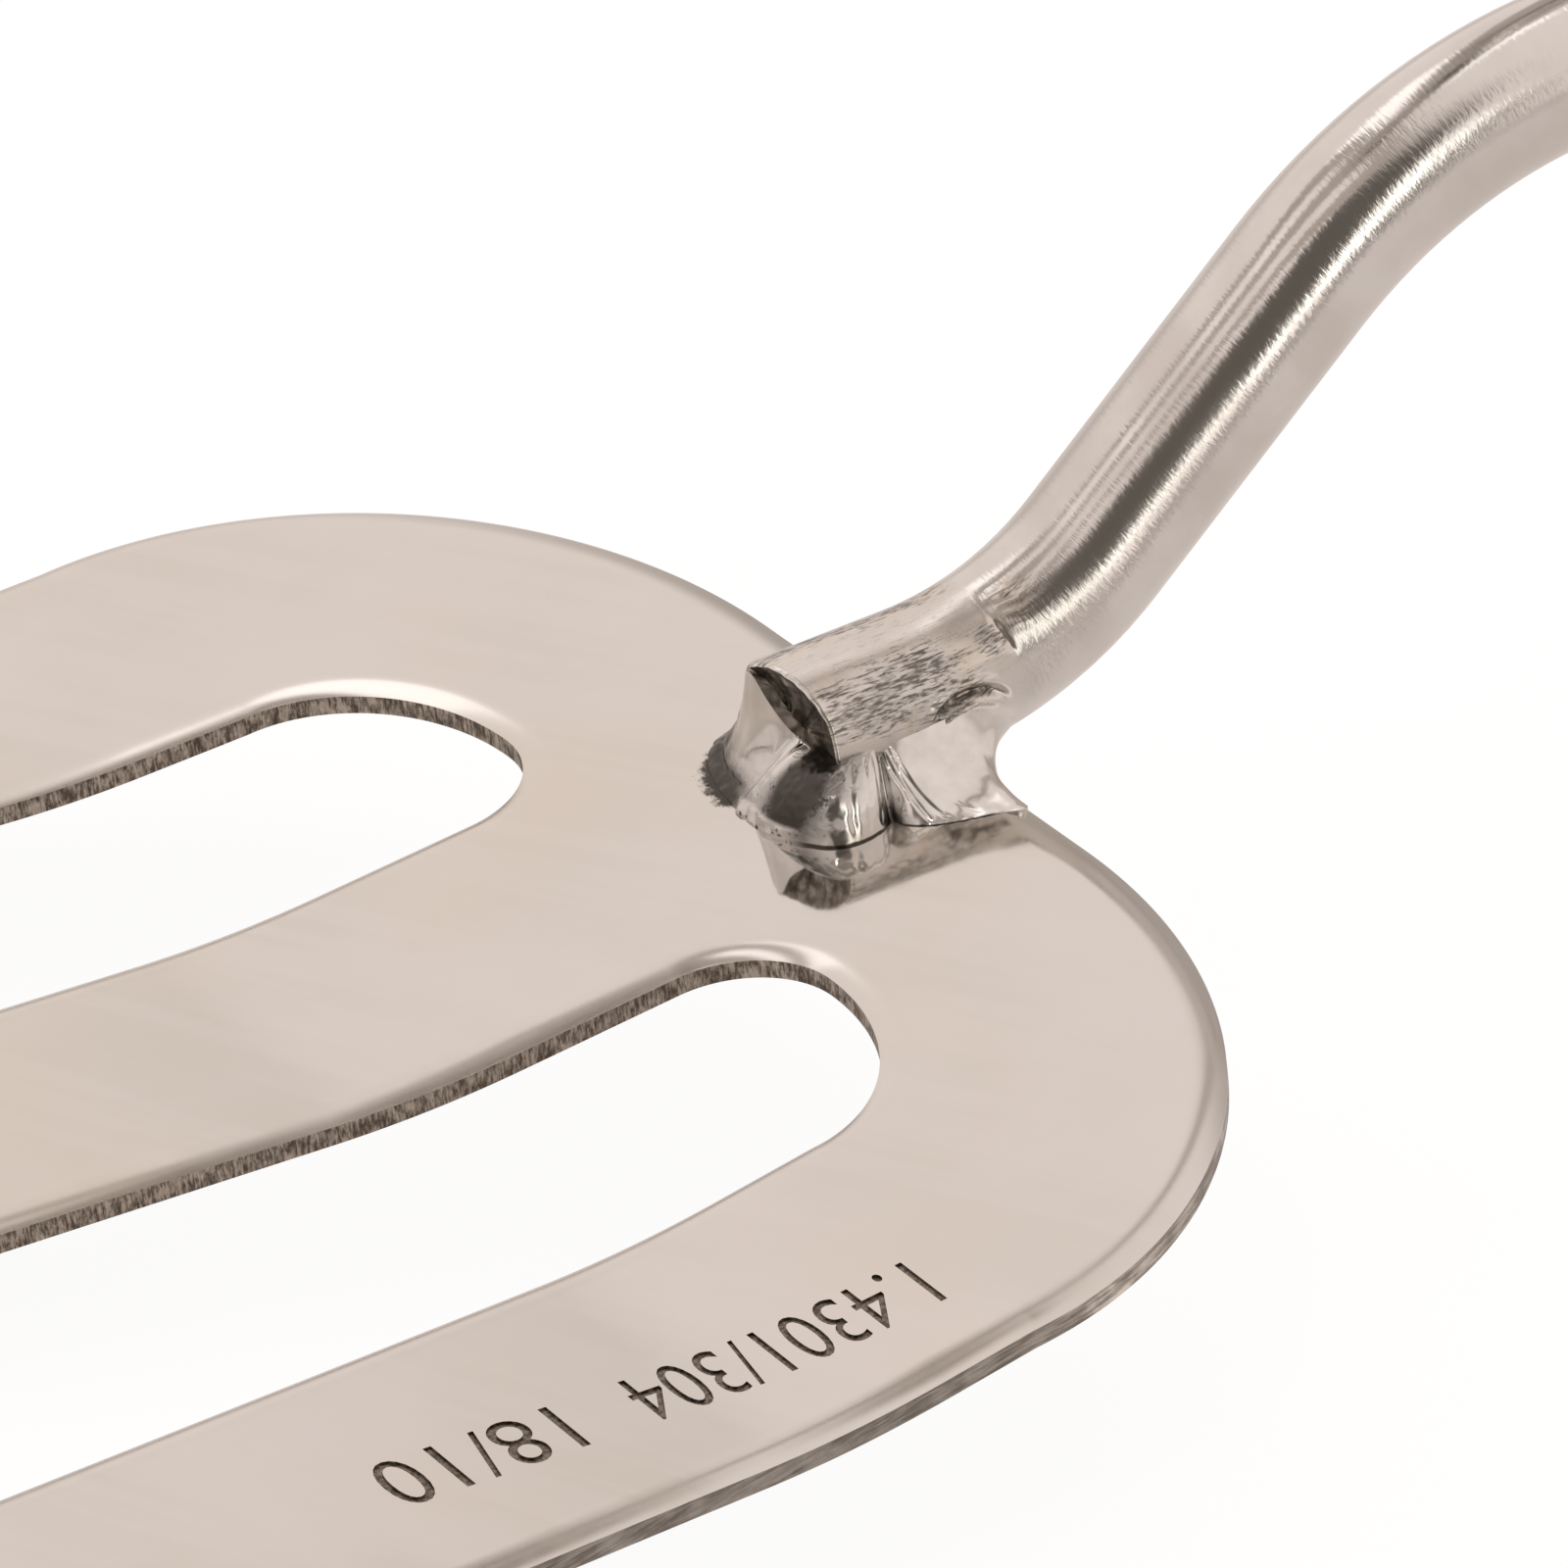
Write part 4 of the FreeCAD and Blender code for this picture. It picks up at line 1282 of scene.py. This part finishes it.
@dataclass
class WeldPool:
    """Frozen weld metal round the stub of one half, sizes in millimetres."""

    around: int = 480
    down: int = 84
    sink: float = 0.5
    hidden: float = 0.06
    root: tuple[float, float, float] = (-3.5, 0.0, 3.0)
    root_depth: float = 0.9
    toe_dark_line: float = 0.9
    toe_dark_line_down: tuple[float, float] = (0.903, 0.935)
    toe_dark_line_start: tuple[float, float] = (3.2, 4.8)
    crust_across: tuple[tuple[float, float], tuple[float, float]] = ((11.7, 12.5), (15.2, 14.6))
    crust_down: tuple[tuple[float, float], tuple[float, float]] = ((0.82, 0.86), (0.97, 0.94))
    crust_height: tuple[float, float] = (0.12, 0.16)
    moat_across: tuple[tuple[float, float], tuple[float, float]] = ((14.9, 15.5), (19.0, 18.2))
    moat_depth: float = 0.16
    moat_down: float = 0.80
    moat_width: float = 0.045
    swell: float = 0.035
    pitting: float = 0.06
    stations: tuple[WeldStation, ...] = (
        WeldStation((2.6, -0.5, 0.1), (1.0, -0.5, -0.3), (0.0, -0.5, -1.2), (0.1, 0.1, 0.2)),
        WeldStation((3.0, -3.5, 0.6), (0.75, -3.9, -0.2), (0.0, -5.0, -0.9)),
        WeldStation((2.7, -4.4, 2.0), (0.65, -5.4, 0.35), (0.0, -7.8, -0.3), (0.0, 0.0, 0.0)),
        WeldStation((1.6, -4.55, 2.9), (0.1, -5.6, 0.95), (-0.2, -9.3, 0.0), (0.0, 0.0, 0.0)),
        WeldStation((0.2, -4.45, 3.15), (-0.9, -5.9, 1.1), (-1.3, -8.9, 0.0)),
        WeldStation((-1.4, -4.3, 3.25), (-2.4, -6.0, 1.2), (-2.9, -8.3, 0.0), (0.0, 0.0, 0.15)),
        WeldStation((-3.0, -4.15, 3.2), (-3.8, -6.0, 1.4), (-4.3, -7.6, 0.0), (0.05, 0.0, 0.2)),
        WeldStation((-4.2, -4.0, 3.15), (-4.8, -5.6, 1.6), (-5.2, -6.9, 0.0), (0.15, 0.05, 0.35)),
        WeldStation((-4.9, -3.8, 3.05), (-5.45, -4.9, 1.3), (-5.9, -5.9, 0.0), (0.5, 0.35, 0.8)),
        WeldStation((-5.4, -3.95, 3.2), (-6.2, -5.5, 2.0), (-6.8, -6.1, 0.0), (0.1, 0.0, 0.3)),
        WeldStation((-6.1, -3.9, 3.3), (-7.4, -5.6, 2.2), (-8.0, -6.15, 0.0), (0.45, 0.3, 0.1)),
        # The next three stations are the front bead: their high burn values paint its dark reflection as
        # shade, along with some oxide.
        WeldStation((-6.8, -3.6, 3.3), (-8.7, -5.0, 2.4), (-9.3, -5.6, 0.0), (0.55, 0.50, 0.25)),
        WeldStation((-7.0, -2.9, 3.0), (-9.35, -3.7, 2.4), (-10.35, -4.1, 0.0), (0.85, 0.90, 0.55)),
        WeldStation((-7.2, -1.9, 2.9), (-9.45, -2.3, 2.2), (-10.9, -2.4, 0.0), (0.8, 0.95, 0.6)),
        WeldStation((-7.6, -1.4, 3.3), (-9.25, -1.0, 2.1), (-10.95, -0.6, 0.0), (0.25, 0.35, 0.4)),
        WeldStation((-8.1, -0.6, 4.2), (-9.15, 0.2, 2.0), (-10.8, 0.9, 0.0), (0.0, 0.0, 0.75)),
        WeldStation((-8.3, 0.5, 5.2), (-9.0, 1.5, 2.1), (-10.5, 2.6, 0.0), (0.0, 0.0, 1.0)),
        WeldStation((-8.55, 1.3, 6.5), (-8.8, 2.7, 2.2), (-9.8, 4.6, 0.0), (0.0, 0.05, 1.0)),
        WeldStation((-8.2, 2.5, 6.0), (-8.25, 4.0, 2.3), (-8.7, 6.0, 0.0), (0.3, 0.6, 1.0)),
        WeldStation((-7.2, 3.4, 4.6), (-7.2, 4.7, 2.0), (-7.2, 6.7, 0.0), (0.3, 0.4, 0.9)),
        WeldStation((-5.0, 3.65, 3.2), (-5.0, 4.9, 1.7), (-5.0, 6.6, 0.0), (0.2, 0.2, 0.6)),
        WeldStation((-2.2, 3.5, 3.2), (-2.2, 4.9, 1.5), (-2.2, 6.6, 0.0), (0.1, 0.0, 0.3)),
        WeldStation((0.5, 3.25, 2.6), (0.0, 4.5, 1.1), (-0.2, 6.8, -0.1)),
        WeldStation((2.5, 2.3, 0.9), (0.9, 3.2, 0.0), (0.0, 4.2, -0.9)),
    )
    lines: tuple[FrozenLine, ...] = (
        FrozenLine(8.05, 8.0, 0.20, 0.16, 0.05, 0.97),
        FrozenLine(9.05, 8.75, 0.15, 0.075),
        FrozenLine(9.75, 9.45, 0.14, 0.060),
        FrozenLine(10.40, 10.15, 0.13, 0.045),
        FrozenLine(7.75, 6.0, 0.13, 0.075),
        FrozenLine(7.35, 5.2, 0.12, 0.065),
        FrozenLine(6.6, 4.2, 0.12, 0.035, 0.2),
        FrozenLine(14.25, 14.75, 0.16, -0.13, 0.0, 0.9),
        FrozenLine(14.75, 15.1, 0.14, 0.05, 0.05, 0.85),
        FrozenLine(17.6, 17.0, 0.22, -0.08, 0.0, 0.85),
    )

    def surface(self, around: float, down: float) -> tuple[Vector, float]:
        """Point of the weld's skin.

        Args:
            around: Share of the way round the stub.
            down: Share of the way from inside the rod to inside the plate.

        Returns:
            The point and how burnt the metal is there.
        """
        row = periodic([s.row() for s in self.stations], around)
        inner, waist, toe = Vector(row[0:3]), Vector(row[3:6]), Vector(row[6:9])
        control = waist * 2.0 - (inner + toe) / 2.0
        under = self.hidden
        share = min(max((down - under) / (1.0 - 2.0 * under), 0.0), 1.0)
        point = inner * (1 - share) ** 2 + control * (2 * share * (1 - share)) + toe * share ** 2
        if down < under:
            into = Vector(self.root) - inner
            point += into.normalized() * (self.root_depth * (under - down) / under)
        elif down > 1.0 - under:
            below = (down - 1.0 + under) / under
            direction = Vector((-1.0, 0.0, 0.0)) if toe.z < -0.3 else Vector((0.0, 0.0, -1.0))
            point += direction * (self.sink * below)
        upper = share < 0.5
        burn = mix(row[9], row[10], share * 2.0) if upper else mix(row[10], row[11], share * 2.0 - 1.0)
        # A thin dark line is painted along the toe, where the weld meets the plate.
        toe_line = smoothstep(*self.toe_dark_line_down, down)
        toe_line *= smoothstep(*self.toe_dark_line_start, around * len(self.stations))
        burn = max(burn, self.toe_dark_line * toe_line)
        return point, min(max(burn, 0.0), 1.0)

    def crust(self, place: float, down: float) -> float:
        """How much pale crust lies along the front of the toe, from 0 to 1."""
        return window(place, *self.crust_across) * window(down, *self.crust_down)

    def relief(self, point: Vector, place: float, down: float) -> float:
        """Frozen ripples, crust and lumps of the pool, outwards positive.

        Args:
            point: Place of the skin.
            place: Place among the stations.
            down: Share of the way down.

        Returns:
            Height of the relief.
        """
        height = sum(line.height(place, down) for line in self.lines)
        moat = bell(down - self.moat_down, self.moat_width) * window(place, *self.moat_across)
        height -= self.moat_depth * moat
        level, grain = self.crust_height
        height += self.crust(place, down) * (level + grain * noise.noise(point * 1.7))
        return height + self.swell * noise.noise(point * 0.8) * window(down, (0.05, 0.15), (0.97, 0.88))

    def build(self, half: Half, finishes: Finishes) -> bpy.types.Object:
        """Make the weld of one half.

        Args:
            half: The half that it belongs to.
            finishes: Source of the materials.

        Returns:
            The finished piece.
        """
        bm = bmesh.new()
        burn_and_shade_layer = bm.verts.layers.float.new("burn")
        foam_layer = bm.verts.layers.float.new("foam")
        bmesh.ops.create_grid(bm, x_segments=self.around, y_segments=self.down, size=1.0)
        spots = {vert: ((vert.co.x + 1.0) / 2.0, (vert.co.y + 1.0) / 2.0) for vert in bm.verts}
        for vert, (around, down) in spots.items():
            vert.co, vert[burn_and_shade_layer] = self.surface(around, down)
            vert[foam_layer] = self.crust(around * len(self.stations), down)
        bmesh.ops.remove_doubles(bm, verts=bm.verts, dist=1e-4)
        bmesh.ops.recalc_face_normals(bm, faces=bm.faces)
        bm.normal_update()
        sample = max(bm.verts, key=lambda v: v.co.z)
        outward = 1.0 if sample.normal.dot(sample.co - Vector((-4.0, 0.0, 0.0))) > 0 else -1.0
        moves = []
        for vert in bm.verts:
            around, down = spots[vert]
            pits = vert[burn_and_shade_layer] * self.pitting * noise.noise(vert.co * 2.3)
            lift = self.relief(vert.co, around * len(self.stations), down)
            lift += pits * smoothstep(0.05, 0.15, down)
            moves.append((vert, vert.normal * (outward * lift)))
        for vert, move in moves:
            vert.co += move
        bmesh.ops.holes_fill(bm, edges=open_edges(bm), sides=0)
        bmesh.ops.recalc_face_normals(bm, faces=bm.faces)
        return finished(half.name + "_weld_pool", bm, half.matrix, [finishes.welded(half)], WELD_SHARP)


# ---------------------------------------------------------------------------------------------
# Pivot
# ---------------------------------------------------------------------------------------------


@dataclass
class PivotJoint:
    """Bolt, washers and lock nut on the Y axis through the pivot, sizes in millimetres."""

    bolt_radius: float = 3.0
    across_flats: float = 10.0
    washer_radius: float = 6.0
    washer_bore: float = 3.05
    washer_edge: float = 0.25
    thread_pitch: float = 1.0
    thread_depth: float = 0.45
    segments: int = 96
    chamfer_slope: float = math.tan(math.radians(30.0))

    def lathe(self, profile: Sequence[tuple[float, float]]) -> bmesh.types.BMesh:
        """Turn a closed profile of radius and y about the Y axis.

        Args:
            profile: Points of radius and y; the first is joined to the last.

        Returns:
            A closed ring or a solid.
        """
        bm = bmesh.new()
        verts = [bm.verts.new((radius, y, 0.0)) for radius, y in profile]
        edges = [bm.edges.new((a, b)) for a, b in zip(verts, verts[1:])]
        if profile[0][0] > 1e-6:
            edges.append(bm.edges.new((verts[-1], verts[0])))
        bmesh.ops.spin(bm, geom=verts + edges, cent=(0, 0, 0), axis=(0, 1, 0), angle=2 * math.pi,
                       steps=self.segments, use_merge=True)
        bmesh.ops.remove_doubles(bm, verts=bm.verts, dist=1e-5)
        bmesh.ops.recalc_face_normals(bm, faces=bm.faces)
        return bm

    def washer(self, start: float, end: float) -> bmesh.types.BMesh:
        """Round washer between two places on the axis, with broken edges."""
        edge, outer, bore = self.washer_edge, self.washer_radius, self.washer_bore
        return self.lathe([(bore, start + edge / 2), (bore + edge / 2, start), (outer - edge, start),
                           (outer - edge * 0.3, start + edge * 0.3), (outer, start + edge),
                           (outer, end - edge), (outer - edge * 0.3, end - edge * 0.3),
                           (outer - edge, end), (bore + edge / 2, end), (bore, end - edge / 2)])

    def hexagon(self, start: float, end: float, bore: float) -> bmesh.types.BMesh:
        """Chamfered hexagon, solid or bored.

        Args:
            start: Lowest y.
            end: Highest y.
            bore: Radius of the bore, or 0 for none.

        Returns:
            The shape.
        """
        radius = self.across_flats / math.sqrt(3.0)
        inner = self.across_flats / 2.0 - 0.1
        drop = (radius - inner) * self.chamfer_slope
        bm = bmesh.new()
        ring = list(bmesh.ops.create_circle(bm, segments=self.segments, radius=inner)["verts"])
        angles = {v: math.atan2(v.co.y, v.co.x) for v in ring}
        first = inner if bore == 0.0 else bore
        rows = [(first, start, False), (inner, start, False), (radius, start + drop, True),
                (radius, end - drop, True), (inner, end, False), (first, end, False)]
        edges = first_edges = list(bm.edges)
        for index, (size, y, hexed) in enumerate(rows):
            if index:
                new_verts, edges = extruded(bm, edges)
                for vert in new_verts:
                    old = next(e.other_vert(vert) for e in vert.link_edges if e.other_vert(vert) in ring)
                    angles[vert] = angles[old]
                ring = new_verts
            for vert in ring:
                angle = angles[vert]
                reach = size
                place = y
                if hexed:
                    folded = (angle + math.pi / 6.0) % (math.pi / 3.0) - math.pi / 6.0
                    reach = self.across_flats / 2.0 / math.cos(folded)
                    rise = (reach - inner) * self.chamfer_slope
                    place = start + rise if y < (start + end) / 2.0 else end - rise
                vert.co = Vector((reach * math.cos(angle), place, reach * math.sin(angle)))
        if bore > 0.0:
            bmesh.ops.bridge_loops(bm, edges=first_edges + edges)
        else:
            bmesh.ops.remove_doubles(bm, verts=bm.verts, dist=1e-6)
            bmesh.ops.holes_fill(bm, edges=open_edges(bm), sides=0)
        bmesh.ops.recalc_face_normals(bm, faces=bm.faces)
        return bm

    def bolt(self, head_start: float, head_end: float, end: float,
             thread_start: float) -> bmesh.types.BMesh:
        """Hexagon head bolt with a rolled thread at its end."""
        bm = self.hexagon(head_start, head_end, 0.0)
        radius = self.bolt_radius
        profile = [(0.0, head_end - 0.5), (radius, head_end - 0.5), (radius, thread_start)]
        place = thread_start
        while place + self.thread_pitch < end - 0.3:
            profile += [(radius, place + 0.1), (radius - self.thread_depth, place + 0.45),
                        (radius - self.thread_depth, place + 0.55), (radius, place + 0.9)]
            place += self.thread_pitch
        profile += [(radius, end - 0.6), (radius - 0.55, end), (0.0, end)]
        bm.from_mesh(mesh_of("shank", self.lathe(profile)))
        return bm

    def build(self, lower: Half, matrix: Matrix,
              finishes: Finishes) -> list[tuple[bpy.types.Object, str]]:
        """Make the pivot's pieces where their nodes are.

        Args:
            lower: The half that they stay with.
            matrix: From the bolt's frame to the tool frame.
            finishes: Source of the materials.

        Returns:
            Each piece with the node that it stands for.
        """
        steel = finishes.turned(matrix)
        plastic = finishes.nylon(matrix)
        pivot = matrix.translation

        def span(node: str) -> tuple[float, float]:
            """Ends of a node along the bolt, in millimetres from the pivot."""
            low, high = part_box(node)
            return (low.y - pivot.y) / MM, (high.y - pivot.y) / MM

        made = []
        for node in ("head_washer", "friction_washer", "nut_washer"):
            start, end = span(node)
            made.append((finished(node + "_turned", self.washer(start, end), matrix, [steel]), node))
        bolt_start, bolt_end = span("pivot_bolt")
        head_end = span("head_washer")[0]
        nut_start, nut_end = span("lock_nut")
        insert_start, insert_end = span("nylon_insert")
        bolt = self.bolt(bolt_start, head_end, bolt_end, nut_start - self.thread_pitch)
        made.append((finished("hex_bolt", bolt, matrix, [steel]), "pivot_bolt"))
        nut = self.hexagon(nut_start, insert_start, self.bolt_radius)
        collar = self.lathe([(3.85, insert_start - 0.05), (4.4, insert_start - 0.05), (4.4, nut_end - 0.7),
                             (4.25, nut_end - 0.25), (3.95, nut_end), (3.65, nut_end - 0.05),
                             (3.65, nut_end - 0.2), (3.85, nut_end - 0.4)])
        nut.from_mesh(mesh_of("collar", collar))
        made.append((finished("prevailing_nut", nut, matrix, [steel]), "lock_nut"))
        ring = self.lathe([(3.0, insert_start), (3.8, insert_start), (3.8, insert_end - 0.35),
                           (3.6, insert_end - 0.15), (3.1, insert_end - 0.15), (3.0, insert_end - 0.3)])
        made.append((finished("nut_ring", ring, matrix, [plastic]), "nylon_insert"))
        LOG.info("pivot: %d pieces on %s", len(made), lower.body)
        return made


# ---------------------------------------------------------------------------------------------
# Studio
# ---------------------------------------------------------------------------------------------


@dataclass
class Studio:
    """Pale floor, soft light and the camera, which looks at the root of the lower jaw."""

    azimuth: float = 30.40
    elevation: float = 33.20
    roll: float = -7.30
    distance_mm: float = 568.46
    target_mm: tuple[float, float, float] = (-7.84, 0.78, 0.0)
    lens: float = 264.6
    sensor: float = 36.0
    floor_size: float = 6.0
    warm: tuple[float, float, float] = (1.035, 0.930, 0.875)
    card_bearings: tuple[tuple[str, float, float, float], ...] = (
        ("Room", -126.0, 16.0, 24.0), ("White card", -100.0, 4.0, 7.5), ("Gap", -89.5, 2.0, 5.0))
    side_light: tuple[float, float, float] = (0.80, 0.50, 0.34)
    haze_colour: tuple[float, float, float] = (0.24, 0.21, 0.18)
    card_colour: tuple[float, float, float] = (2.30, 2.22, 2.06)
    gap_colour: tuple[float, float, float] = (0.20, 0.17, 0.14)
    side_colour: tuple[float, float, float] = (0.22, 0.19, 0.155)
    room_colour: tuple[float, float, float] = (0.155, 0.135, 0.115)
    lamps: tuple[tuple[str, tuple[float, float, float], float, float], ...] = (
        ("key_light", (-0.93, -0.52, 1.10), 0.14, 1.2), ("rim_light", (-1.15, 0.35, 0.78), 0.45, 0.10),
        ("top_light", (-0.5, 0.9, 1.9), 1.2, 3.0))
    card_tree: bpy.types.NodeTree | None = None

    def camera(self, lower: Half) -> bpy.types.Object:
        """Set the camera in the lower half's frame."""
        azimuth, elevation, roll = (math.radians(v) for v in (self.azimuth, self.elevation, self.roll))
        right = Vector((math.cos(azimuth), -math.sin(azimuth), 0.0))
        away = Vector((math.sin(azimuth), math.cos(azimuth), 0.0))
        forward = away * math.cos(elevation) - Vector((0.0, 0.0, math.sin(elevation)))
        up = right.cross(forward)
        turned_right = right * math.cos(roll) + up * math.sin(roll)
        turned_up = up * math.cos(roll) - right * math.sin(roll)
        place = Vector(self.target_mm) - forward * self.distance_mm
        turn = lower.matrix.to_3x3().normalized()
        axes = Matrix([turn @ turned_right, turn @ turned_up, -(turn @ forward)]).transposed()
        data = bpy.data.cameras.new("camera")
        data.lens = self.lens
        data.sensor_width = self.sensor
        data.clip_start = 0.01
        data.clip_end = 50.0
        camera = bpy.data.objects.new("camera", data)
        camera.matrix_world = Matrix.Translation(lower.matrix @ place) @ axes.to_4x4()
        bpy.context.scene.collection.objects.link(camera)
        bpy.context.scene.camera = camera
        return camera

    def cards(self) -> bpy.types.NodeTree:
        """Group that says where the dark room, the white card and the gap beside it stand."""
        tree = bpy.data.node_groups.new("Studio cards", "ShaderNodeTree")
        tree.interface.new_socket("Vector", in_out="INPUT", socket_type="NodeSocketVector")
        graph = Graph(tree)
        source = graph.add("NodeGroupInput")
        level = graph.add("VectorMath", operation="MULTIPLY", _0=source.outputs[0], _1=(1.0, 1.0, 0.0))
        level = graph.add("VectorMath", operation="NORMALIZE", _0=level.outputs[0])
        out = None
        for name, bearing, inner, outer in self.card_bearings:
            tree.interface.new_socket(name, in_out="OUTPUT", socket_type="NodeSocketFloat")
            out = out or graph.add("NodeGroupOutput")
            towards = (math.cos(math.radians(bearing)), math.sin(math.radians(bearing)), 0.0)
            aligned = graph.add("VectorMath", operation="DOT_PRODUCT", _0=level.outputs[0], _1=towards)
            angle = graph.math("ARCCOSINE", graph.math("MINIMUM", aligned.outputs["Value"], 1.0))
            graph.put(out.inputs[name], graph.ramp(angle, math.radians(outer), math.radians(inner)))
        return tree

    def _cards_node(self, graph: Graph, vector: bpy.types.NodeSocket) -> bpy.types.Node:
        """Place the cards' group in a tree, reading a direction."""
        node = graph.add("Group")
        node.node_tree = self.card_tree
        graph.put(node.inputs["Vector"], vector)
        return node

    def floor(self) -> bpy.types.Object:
        """Plain pale floor that looks white and lights the steel gently from below."""
        bm = bmesh.new()
        bmesh.ops.create_grid(bm, x_segments=2, y_segments=2, size=self.floor_size / 2.0)
        mesh = mesh_of("floor", bm)
        material = bpy.data.materials.new("pale_floor")
        material.use_nodes = True
        material.node_tree.nodes.clear()
        graph = Graph(material.node_tree)
        matt = graph.add("BsdfDiffuse", Color=rgba(0.80, 0.79, 0.78))
        white = graph.add("Emission", Color=rgba(1.0, 1.0, 1.0), Strength=1.06)
        rays = graph.add("LightPath")
        seen = graph.add("MixShader", _0=graph.scaled(rays.outputs["Is Camera Ray"], 0.86),
                         _1=matt.outputs[0], _2=white.outputs[0])
        outward = graph.add("VectorMath", operation="ADD", _1=(0.03, 0.0, 0.0),
                            _0=graph.add("TexCoord").outputs["Object"])
        cards = self._cards_node(graph, outward.outputs[0])
        level = graph.sum(0.84, graph.scaled(cards.outputs["White card"], 0.95))
        level = graph.math("SUBTRACT", level, graph.scaled(cards.outputs["Gap"], 0.52))
        level = graph.math("SUBTRACT", level, graph.scaled(cards.outputs["Room"], 0.30))
        lit = graph.add("Emission", Color=rgba(*self.warm), Strength=level)
        shade = graph.add("MixShader", _0=graph.scaled(rays.outputs["Is Glossy Ray"], 0.75),
                          _1=seen.outputs[0], _2=lit.outputs[0])
        graph.add("OutputMaterial", Surface=shade.outputs[0])
        mesh.materials.append(material)
        floor = new_object("floor", mesh)
        return floor

    def world(self) -> None:
        """Even white surroundings with one dim side, where the room behind the camera is darker."""
        world = bpy.data.worlds.new("studio")
        world.use_nodes = True
        world.node_tree.nodes.clear()
        graph = Graph(world.node_tree)
        direction = graph.add("TexCoord").outputs["Generated"]
        height = graph.add("SeparateXYZ", Vector=direction).outputs[2]
        towards = graph.add("VectorMath", operation="DOT_PRODUCT", _0=direction,
                            _1=Vector(self.side_light).normalized())
        cards = self._cards_node(graph, direction)
        room = graph.scaled(cards.outputs["Room"], graph.ramp(height, 0.95, 0.62))
        strip = graph.scaled(cards.outputs["White card"], graph.ramp(height, 0.62, 0.42))
        gap = graph.scaled(cards.outputs["Gap"], graph.ramp(height, 0.60, 0.30, 0.0, 0.95))
        haze = graph.ramp(height, 0.26, 0.02, 0.0, 0.38)
        side = graph.scaled(graph.ramp(towards.outputs["Value"], 0.84, 0.97), 0.62)
        colour: object = rgba(*self.warm)
        for share, zone in ((haze, self.haze_colour), (strip, self.card_colour), (gap, self.gap_colour),
                            (side, self.side_colour), (room, self.room_colour)):
            colour = graph.blend(share, colour, rgba(*zone))
        colour = graph.blend(graph.add("LightPath").outputs["Is Camera Ray"], colour, rgba(1.0, 1.0, 1.0))
        background = graph.add("Background", Color=colour, Strength=1.0)
        graph.add("OutputWorld", Surface=background.outputs[0])
        bpy.context.scene.world = world

    def lamp(self, name: str, place: Sequence[float], aim: Vector, size: float, power: float) -> None:
        """Add a soft area light.

        Args:
            name: Name of the light.
            place: Where it stands.
            aim: What it points at.
            size: Side of its square.
            power: Watts.
        """
        data = bpy.data.lights.new(name, "AREA")
        data.size = size
        data.energy = power
        lamp = bpy.data.objects.new(name, data)
        lamp.location = place
        lamp.rotation_euler = (aim - Vector(place)).to_track_quat("-Z", "Y").to_euler()
        bpy.context.scene.collection.objects.link(lamp)

    def build(self, lower: Half) -> None:
        """Make the whole studio."""
        self.card_tree = self.cards()
        self.camera(lower)
        self.floor()
        self.world()
        aim = lower.matrix.translation
        for name, place, size, power in self.lamps:
            self.lamp(name, place, aim, size, power)
        bpy.context.scene.view_settings.view_transform = "Standard"


# ---------------------------------------------------------------------------------------------
# The tool
# ---------------------------------------------------------------------------------------------


class FrameGrip:
    """The whole tool: two equal halves and the pivot between them."""

    ROOT_FACE_AHEAD = 7.5
    PLATE_THICKNESS = 1.5

    def __init__(self) -> None:
        """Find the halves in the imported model."""
        self.record = frame["record"]
        self.halves = {side: self._half(side) for side in Side}
        self.finishes = Finishes(SurfaceEffects())

    def _half(self, side: Side) -> Half:
        """Work out a half's matrix from the flat root of its jaw plate."""
        name = side.name.lower() + "_root_face"
        mount = next(m for m in self.record["mounts"] if m["name"] == name)
        up = -Vector(mount["axis"]).normalized()
        far = Vector((0.0, float(side.value), 0.0))
        ahead = far.cross(up).normalized()
        origin = Vector(mount["pos_m"]) + (ahead * self.ROOT_FACE_AHEAD + up * self.PLATE_THICKNESS) * MM
        turn = Matrix([ahead, far, up]).transposed().to_4x4()
        return Half(side, Matrix.Translation(origin) @ turn @ Matrix.Scale(MM, 4))

    def dress(self, piece: bpy.types.Object, body: str, nodes: Sequence[str]) -> None:
        """Tie a piece to its body and the nodes that it stands for."""
        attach(piece, body)
        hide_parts(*nodes)
        LOG.info("%s rides on %s for %s: %d faces", piece.name, body, ", ".join(nodes),
                 len(piece.data.polygons))

    def build(self) -> None:
        """Make every piece of both halves and of the pivot."""
        for half in self.halves.values():
            plate = JawPlate().build(half, self.finishes)
            self.dress(plate, half.body, [half.name + "_jaw_plate"])
            arm = ArmRod().build(half, self.finishes)
            self.dress(arm, half.body, [half.name + "_arm_rod"])
            weld = WeldPool().build(half, self.finishes)
            beads = [half.name + "_weld_" + place for place in ("end", "near", "far", "heel")]
            self.dress(weld, half.body, beads)
        lower = self.halves[Side.LOWER]
        joint = next(j for j in frame["joints"] if j["name"] == "pivot")
        matrix = Matrix.Translation(Vector(joint["pos_m"])) @ Matrix.Scale(MM, 4)
        for piece, node in PivotJoint().build(lower, matrix, self.finishes):
            self.dress(piece, lower.body, [node])
        Studio().build(lower)


def main() -> None:
    """Build the tool and its studio."""
    logging.basicConfig(level=logging.INFO, format="%(name)s: %(message)s")
    FrameGrip().build()


if __name__ == "__main__":
    main()
